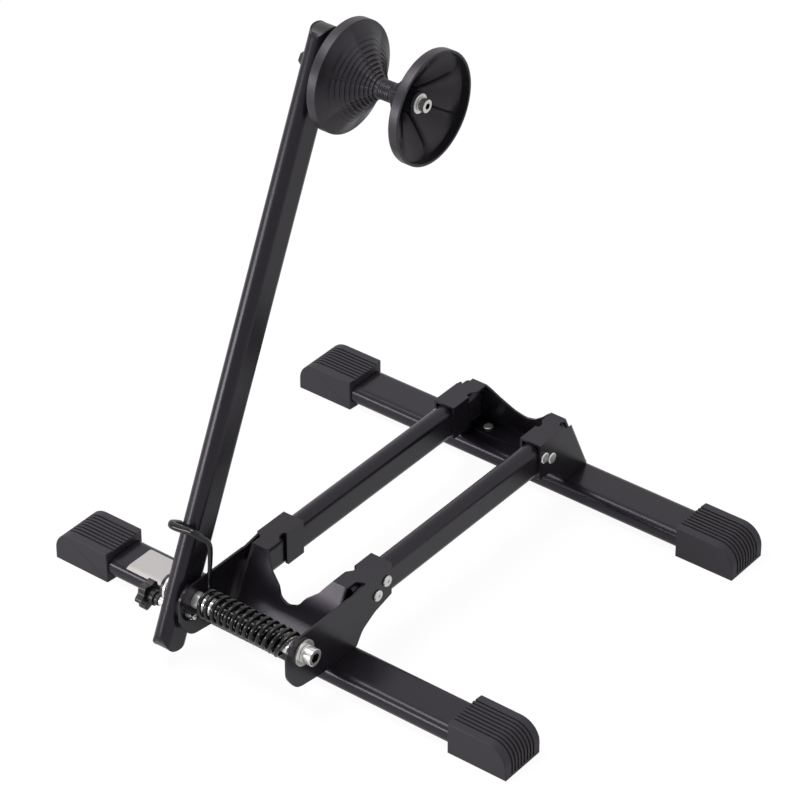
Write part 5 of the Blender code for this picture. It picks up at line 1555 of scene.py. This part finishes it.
def cone_shape():
    """The right-hand cone: stepped panels outside, ribs inside the cup."""
    profile = cone_outside() + cone_inside()
    turns = cone_turns()
    points = []
    for x, radius, cut, lift, crease in profile:
        for turn, away in turns:
            panel = max(0.0, min(1.0, (away - RIB_STRIP) / RIB_BLEND))
            ridge = max(0.0, 1.0 - away / RIB_HALF_WIDTH)
            facet = 1.0 - away * ROLLER_RIBS / 180.0
            inward = detail().step_depth * cut * panel + CREASE_DEPTH * crease * facet ** CREASE_POWER
            rib = RIB_FACET_SHARE * facet ** 2 + (1 - RIB_FACET_SHARE) * ridge
            rise = detail().rib_height * lift * rib
            place = x + inward * FLANK_MOVE[0] + rise * RIB_MOVE[0]
            reach = radius - inward * FLANK_MOVE[1] - rise * RIB_MOVE[1]
            points.append((place, reach * math.cos(turn), reach * math.sin(turn)))
    return settled(mesh_of(points, quads(len(profile), len(turns), closed=True)), flatten=False)


def label_shape():
    """A bare film label that follows the top and shoulder of the front tube."""
    outer = flat_oval(TUBE_WIDTH, TUBE_HEIGHT, TUBE_SHOULDER, GAP + LABEL_THICKNESS)
    inner = flat_oval(TUBE_WIDTH, TUBE_HEIGHT, TUBE_SHOULDER, GAP)
    skins = [shifted(outline, -TUBE_Y, TUBE_Z) for outline in (outer, inner)]
    left_x = CAP_LENGTH - FRONT_LENGTH / 2 + LABEL_FROM_CAP
    right_x = left_x + LABEL_LENGTH
    film = slab(skins, left_x, right_x, SIDE)
    plan = rounded([
        (left_x, -TUBE_Y - LABEL_FRONT_Y, 0.0),
        (right_x, -TUBE_Y - LABEL_FRONT_Y, 0.0),
        (right_x, -TUBE_Y + LABEL_BACK_Y, LABEL_CORNER),
        (left_x, -TUBE_Y + LABEL_BACK_Y, LABEL_CORNER),
    ])
    return combined(film, slab([plan], TUBE_Z + LABEL_FOOT, TUBE_Z + TUBE_HEIGHT, PLAN), "INTERSECT")


class STAND_OT_base_tubes(bpy.types.Operator):
    """Make the two flat base tubes"""

    bl_idname = "bike_stand.base_tubes"
    bl_label = "Base tubes"

    def execute(self, context):
        for name, side in (("front", -1), ("rear", 1)):
            piece(f"{name}_tube", base_tube(side), "paint", "base", [f"{name}_base_tube"])
        return {"FINISHED"}


class STAND_OT_foot_caps(bpy.types.Operator):
    """Make the four ribbed foot caps"""

    bl_idname = "bike_stand.foot_caps"
    bl_label = "Foot caps"

    def execute(self, context):
        pattern = cap_shape()
        for y_name, side in (("front", -1), ("rear", 1)):
            lip_x = base_length(side) / 2 - CAP_LENGTH
            for x_name, x, turn in (("right", lip_x, 0.0), ("left", -lip_x, math.pi)):
                place = Matrix.Translation((x, side * TUBE_Y, 0.0))
                cap = copied(pattern, place @ Matrix.Rotation(turn, 4, "Z"))
                piece(f"{y_name}_{x_name}_cap", cap, "cap", "base", [f"{y_name}_{x_name}_foot_cap"])
        bpy.data.objects.remove(pattern)
        return {"FINISHED"}


class STAND_OT_rails(bpy.types.Operator):
    """Make the two rails"""

    bl_idname = "bike_stand.rails"
    bl_label = "Rails"

    def execute(self, context):
        for name, side in (("left", -1), ("right", 1)):
            piece(f"{name}_side_rail", rail(side), "paint", "base", [f"{name}_rail"])
        return {"FINISHED"}


class STAND_OT_brackets(bpy.types.Operator):
    """Make the two folded brackets"""

    bl_idname = "bike_stand.brackets"
    bl_label = "Brackets"

    def execute(self, context):
        piece("front_folded_bracket", front_bracket(), "paint", "base", ["front_bracket"])
        piece("rear_folded_bracket", rear_bracket(), "paint", "base", ["rear_bracket"])
        return {"FINISHED"}


class STAND_OT_screws(bpy.types.Operator):
    """Make the eight rail screws and the four flange screws"""

    bl_idname = "bike_stand.screws"
    bl_label = "Screws"

    def execute(self, context):
        pattern = screw_shape(SCREW_HEAD)
        seat = WING_OUTER_X + GAP
        for y_name, places in (("front", FRONT_SCREWS), ("rear", REAR_SCREWS)):
            for x_name, side in (("left", -1), ("right", 1)):
                for number, (y, z) in enumerate(places, 1):
                    turn = Matrix.Rotation(0.0 if side > 0 else math.pi, 4, "Z")
                    degrees = SCREW_TWIST[0] * number + SCREW_TWIST[1] * side
                    twist = Matrix.Rotation(math.radians(degrees), 4, "X")
                    screw = copied(pattern, Matrix.Translation((side * seat, y, z)) @ turn @ twist)
                    cad_node = f"{y_name}_{x_name}_rail_screw_{number}"
                    piece(f"{cad_node}_head", screw, "zinc", "base", [cad_node])
        bpy.data.objects.remove(pattern)
        pattern = screw_shape(FLANGE_SCREW_HEAD)
        seat = PLATE_FOOT_Z + SHEET + GAP
        upright = Matrix.Rotation(-math.pi / 2, 4, "Y")
        for y_name, places in (("front", flange_screws(-1)), ("rear", flange_screws(1))):
            for x_name, (x, y) in zip(("left", "right"), places):
                screw = copied(pattern, Matrix.Translation((x, y, seat)) @ upright)
                cad_node = f"{y_name}_{x_name}_flange_screw"
                piece(f"{cad_node}_head", screw, "zinc", "base", [cad_node])
        bpy.data.objects.remove(pattern)
        return {"FINISHED"}


class STAND_OT_hinge(bpy.types.Operator):
    """Make the arm's hinge: bolt, washers, sleeve, spacer and end nut"""

    bl_idname = "bike_stand.hinge"
    bl_label = "Hinge"

    def execute(self, context):
        bore = PIVOT_DIAMETER + 2 * GAP
        washer_x = WING_OUTER_X + GAP
        washer_end = washer_x + PIVOT_WASHER_THICKNESS
        arm_washer_end = ARM_OUTER_X - GAP
        arm_washer_x = arm_washer_end - ARM_WASHER_THICKNESS
        nut_x = arm_washer_x - GAP
        end_x = nut_x - END_NUT_HEIGHT
        sizes = (PIVOT_HEAD_DIAMETER, PIVOT_HEAD_HEIGHT, PIVOT_SOCKET, PIVOT_DIAMETER)
        bolt_piece("hinge_bolt", sizes, washer_end + GAP, end_x + PIVOT_TIP_INSET, PIVOT,
                   "base", "pivot_bolt")
        ring_piece("hinge_washer", washer_x, washer_end, PIVOT_WASHER, bore, PIVOT, "base", "pivot_washer")
        sleeve = piece("hinge_sleeve", sleeve_shape(bore), "zinc", "base", ["pivot_sleeve"])
        # Painted shade: the sleeve's middle, shaded by the coils, gets the spring's glossy black
        second_finish(sleeve, "spring", lambda place: SLEEVE_SHADE_FROM < place.x < SLEEVE_SHADE_TO)
        ring_piece("hinge_spacer", ARM_INNER_X + GAP, -washer_x, SPACER_DIAMETER, bore, PIVOT,
                   "base", "pivot_spacer")
        ring_piece("hinge_arm_washer", arm_washer_x, arm_washer_end, ARM_WASHER, bore, PIVOT,
                   "base", "arm_washer")
        nut = end_nut_shape(end_x, nut_x, bore)
        piece("hinge_end_nut", nut, "plastic", "base", ["pivot_end_nut"])
        return {"FINISHED"}


class STAND_OT_spring(bpy.types.Operator):
    """Make the torsion spring"""

    bl_idname = "bike_stand.spring"
    bl_label = "Torsion spring"

    def execute(self, context):
        route = spring_route()
        coil = wire(route, sleeved(route), detail().wire_points)
        coil = piece("wound_spring", coil, "spring", None, ["torsion_spring"])
        coil.modifiers.clear()
        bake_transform(coil)
        return {"FINISHED"}


class STAND_OT_arm(bpy.types.Operator):
    """Make the swinging arm with its plugs and bushes"""

    bl_idname = "bike_stand.arm"
    bl_label = "Swinging arm"

    def execute(self, context):
        piece("arm_tube", softened(arm_tube(), ARM_EDGE), "paint", "arm", ["swing_arm"])
        tail = -ARM_TAIL - ARM_DEPTH / 2
        top = ARM_REACH + ARM_TOP + ARM_DEPTH / 2
        plug = arm_plug(tail - PAST, tail + PLUG_DEPTH)
        piece("arm_tail_plug", plug, "plastic", "arm", ["arm_bottom_plug"])
        plug = arm_plug(top - PLUG_DEPTH, top + PAST)
        piece("arm_head_plug", plug, "plastic", "arm", ["arm_top_plug"])
        ring_piece("arm_hinge_bush", ARM_OUTER_X, ARM_INNER_X, PIVOT_BUSH, PIVOT_DIAMETER + 2 * GAP, PIVOT,
                   "arm", "arm_pivot_bush")
        ring_piece("arm_roller_bush", ARM_OUTER_X, ARM_INNER_X, AXLE_BUSH, AXLE_DIAMETER + 2 * GAP, AXLE,
                   "arm", "arm_axle_bush")
        return {"FINISHED"}


class STAND_OT_lock(bpy.types.Operator):
    """Make the arm's lock: boss, stud and star knob"""

    bl_idname = "bike_stand.lock"
    bl_label = "Arm lock"

    def execute(self, context):
        boss_end = ARM_OUTER_X - GAP
        boss_x = boss_end - LOCK_BOSS_LENGTH
        ring_piece("lock_collar", boss_x, boss_end, LOCK_BOSS_DIAMETER, LOCK_STUD + 4 * GAP, LOCK,
                   "arm", "lock_boss")
        hub_x = boss_x - GAP
        tip_x = -WING_INNER_X + LOCK_TIP
        stud = piece("lock_pin", stud_shape(hub_x, tip_x), "zinc", "lock_screw", ["lock_stud"])
        side_end = tip_x - LOCK_TIP_ROUND[0][0]
        # Painted shade: the stud's side, from the wing's outer face to its tip, gets the spring's glossy
        # black, so only the tip stays bright
        second_finish(stud, "spring", lambda place: -WING_OUTER_X < place.x < side_end)
        piece("lock_star_knob", knob_shape(hub_x), "plastic", "lock_grip", ["lock_knob"])
        return {"FINISHED"}


class STAND_OT_roller(bpy.types.Operator):
    """Make the double-cone roller on its axle"""

    bl_idname = "bike_stand.roller"
    bl_label = "Roller"

    def execute(self, context):
        pattern = cone_shape()
        for name, turn, side in (("right", 0.0, 1), ("left", math.pi, -1)):
            shift = Matrix.Translation((side * GAP / 2, 0.0, 0.0))
            half = copied(pattern, Matrix.Translation(AXLE) @ shift @ Matrix.Rotation(turn, 4, "Z"))
            piece(f"{name}_cone", half, "roller", "roller", [f"{name}_roller_cone"], CONE_SMOOTH)
        bpy.data.objects.remove(pattern)
        bore = AXLE_DIAMETER + 2 * GAP
        hub_x = HUB_FACE_X + GAP / 2
        washer_x = hub_x + GAP
        washer_end = washer_x + AXLE_WASHER_THICKNESS
        nut_end = ARM_OUTER_X - GAP
        nut_x = nut_end - AXLE_NUT_HEIGHT
        ring_piece("roller_washer", washer_x, washer_end, AXLE_WASHER, bore, AXLE, "arm", "axle_washer")
        ring_piece("roller_spacer", ARM_INNER_X + GAP, -washer_x, AXLE_SPACER, bore, AXLE,
                   "arm", "axle_spacer", "plastic")
        sizes = (AXLE_HEAD, AXLE_HEAD_HEIGHT, AXLE_SOCKET, AXLE_DIAMETER)
        bolt_piece("roller_bolt", sizes, washer_end + GAP, nut_x - PAST, AXLE, "arm", "axle_bolt")
        nut = slab([hexagon(AXLE_NUT), circle(0.0, 0.0, bore / 2)], nut_x, nut_end, SIDE)
        piece("roller_nut", softened(placed(nut, AXLE), NUT_EDGE), "dark_and_socket_shade", "arm", ["axle_nut"])
        return {"FINISHED"}


class STAND_OT_label(bpy.types.Operator):
    """Make the bare white label"""

    bl_idname = "bike_stand.label"
    bl_label = "Bare label"

    def execute(self, context):
        piece("bare_label", label_shape(), "label", "base", ["blank_label"])
        return {"FINISHED"}


def lamp(name, place, size, power, aim):
    """A soft lamp, width and height given, that points at a place."""
    light = bpy.data.lights.new(name, "AREA")
    light.shape = "RECTANGLE"
    light.size, light.size_y = size
    light.energy = power
    item = bpy.data.objects.new(name, light)
    bpy.context.scene.collection.objects.link(item)
    item.location = place
    item.rotation_mode = "QUATERNION"
    item.rotation_quaternion = (Vector(aim) - Vector(place)).to_track_quat("-Z", "Y")


def total(tree, operation, first, second):
    """A sum or product of a node's value and a number or another node's value."""
    linked_second = isinstance(second, bpy.types.NodeSocket)
    values = {} if linked_second else {1: second}
    feeds = {0: first, 1: second} if linked_second else {0: first}
    return node(tree, "ShaderNodeMath", values, feeds, operation=operation).outputs["Value"]


def ray_share(tree, camera, glossy, glossy_factor=1.0):
    """A share for camera rays and one for glossy rays, nothing for the others."""
    path = node(tree, "ShaderNodeLightPath").outputs
    seen = total(tree, "MULTIPLY", path["Is Camera Ray"], camera)
    mirrored = total(tree, "MULTIPLY", path["Is Glossy Ray"], glossy)
    return total(tree, "ADD", seen, total(tree, "MULTIPLY", mirrored, glossy_factor))


def paper_floor():
    """Pale paper that looks white and keeps a faint shadow."""
    material = bpy.data.materials.new("paper_floor")
    material.use_nodes = True
    tree = material.node_tree
    tree.nodes.clear()
    diffuse = node(tree, "ShaderNodeBsdfDiffuse", {"Color": (0.85, 0.85, 0.85, 1.0)})
    glow = node(tree, "ShaderNodeEmission", {"Color": (1.0, 1.0, 1.0, 1.0), "Strength": 1.09})
    share = ray_share(tree, camera=0.86, glossy=0.40)
    mix = node(tree, "ShaderNodeMixShader", feeds={
        "Fac": share, 1: diffuse.outputs["BSDF"], 2: glow.outputs["Emission"]})
    node(tree, "ShaderNodeOutputMaterial", feeds={"Surface": mix.outputs["Shader"]})
    return material


def white_world():
    """Soft white surroundings: full white to the camera, gentler as light, dimmer toward the front."""
    world = bpy.data.worlds.new("white_studio")
    bpy.context.scene.world = world
    world.use_nodes = True
    tree = world.node_tree
    place = node(tree, "ShaderNodeTexCoord")
    parts = node(tree, "ShaderNodeSeparateXYZ", feeds={"Vector": place.outputs["Generated"]})
    facing = node(tree, "ShaderNodeMapRange",
                  {"From Min": -1.0, "From Max": 0.1, "To Min": 0.35, "To Max": 1.15},
                  {"Value": parts.outputs["Y"]})
    share = ray_share(tree, camera=1.0, glossy=0.80, glossy_factor=facing.outputs["Result"])
    level = node(tree, "ShaderNodeMapRange", {"To Min": 0.27, "To Max": 1.0}, {"Value": share})
    background = tree.nodes["Background"]
    background.inputs["Color"].default_value = (1.0, 1.0, 1.0, 1.0)
    tree.links.new(level.outputs["Result"], background.inputs["Strength"])


class STAND_OT_stage(bpy.types.Operator):
    """Make the floor, the surroundings, the lamps and the camera"""

    bl_idname = "bike_stand.stage"
    bl_label = "Stage"

    def execute(self, context):
        context.scene.view_settings.view_transform = "Standard"
        corners = box_outline(-FLOOR_REACH, FLOOR_REACH, -FLOOR_REACH, FLOOR_REACH)
        floor = mesh_of([(corner.x, corner.y, -FLOOR_DROP) for corner in corners], [(0, 1, 2, 3)])
        floor.name = "floor"
        floor.data.materials.append(paper_floor())
        white_world()
        lamp("top_lamp", *TOP_LAMP)
        lamp("front_lamp", *FRONT_LAMP)
        data = bpy.data.cameras.new("camera")
        data.sensor_width = SENSOR
        data.lens = SENSOR * CAMERA_FOCAL / PHOTO_SIDE
        camera = bpy.data.objects.new("camera", data)
        context.scene.collection.objects.link(camera)
        context.scene.camera = camera
        flat = math.cos(CAMERA_ELEVATION)
        back = Vector((math.sin(CAMERA_AZIMUTH) * flat, -math.cos(CAMERA_AZIMUTH) * flat,
                       math.sin(CAMERA_ELEVATION)))
        camera.location = CAMERA_TARGET + SHIFT + back * CAMERA_DISTANCE
        camera.rotation_euler = (math.pi / 2 - CAMERA_ELEVATION, 0.0, CAMERA_AZIMUTH)
        return {"FINISHED"}


OPERATORS = (
    STAND_OT_stage, STAND_OT_base_tubes, STAND_OT_foot_caps, STAND_OT_rails, STAND_OT_brackets,
    STAND_OT_screws, STAND_OT_hinge, STAND_OT_spring, STAND_OT_arm, STAND_OT_lock, STAND_OT_roller,
    STAND_OT_label,
)


class STAND_PT_panel(bpy.types.Panel):
    """Sizes, finishes and pieces of the stand"""

    bl_idname = "STAND_PT_panel"
    bl_label = "Bike Stand"
    bl_space_type = "VIEW_3D"
    bl_region_type = "UI"
    bl_category = "Bike Stand"

    def draw(self, context):
        for group in (context.scene.stand_detail, context.scene.stand_finish):
            box = self.layout.box()
            for name in type(group).__annotations__:
                box.prop(group, name)
        for operator in OPERATORS:
            self.layout.operator(operator.bl_idname)


CLASSES = (StandDetail, StandFinish, *OPERATORS, STAND_PT_panel)


def register():
    """Register the classes and put their settings on the scene."""
    for item in CLASSES:
        bpy.utils.register_class(item)
    bpy.types.Scene.stand_detail = bpy.props.PointerProperty(type=StandDetail)
    bpy.types.Scene.stand_finish = bpy.props.PointerProperty(type=StandFinish)


def unregister():
    """Take the settings off the scene and unregister the classes."""
    del bpy.types.Scene.stand_finish
    del bpy.types.Scene.stand_detail
    for item in reversed(CLASSES):
        bpy.utils.unregister_class(item)


def main():
    """Build every piece."""
    register()
    for operator in OPERATORS:
        group, name = operator.bl_idname.split(".")
        getattr(getattr(bpy.ops, group), name)()


if __name__ == "__main__":
    main()
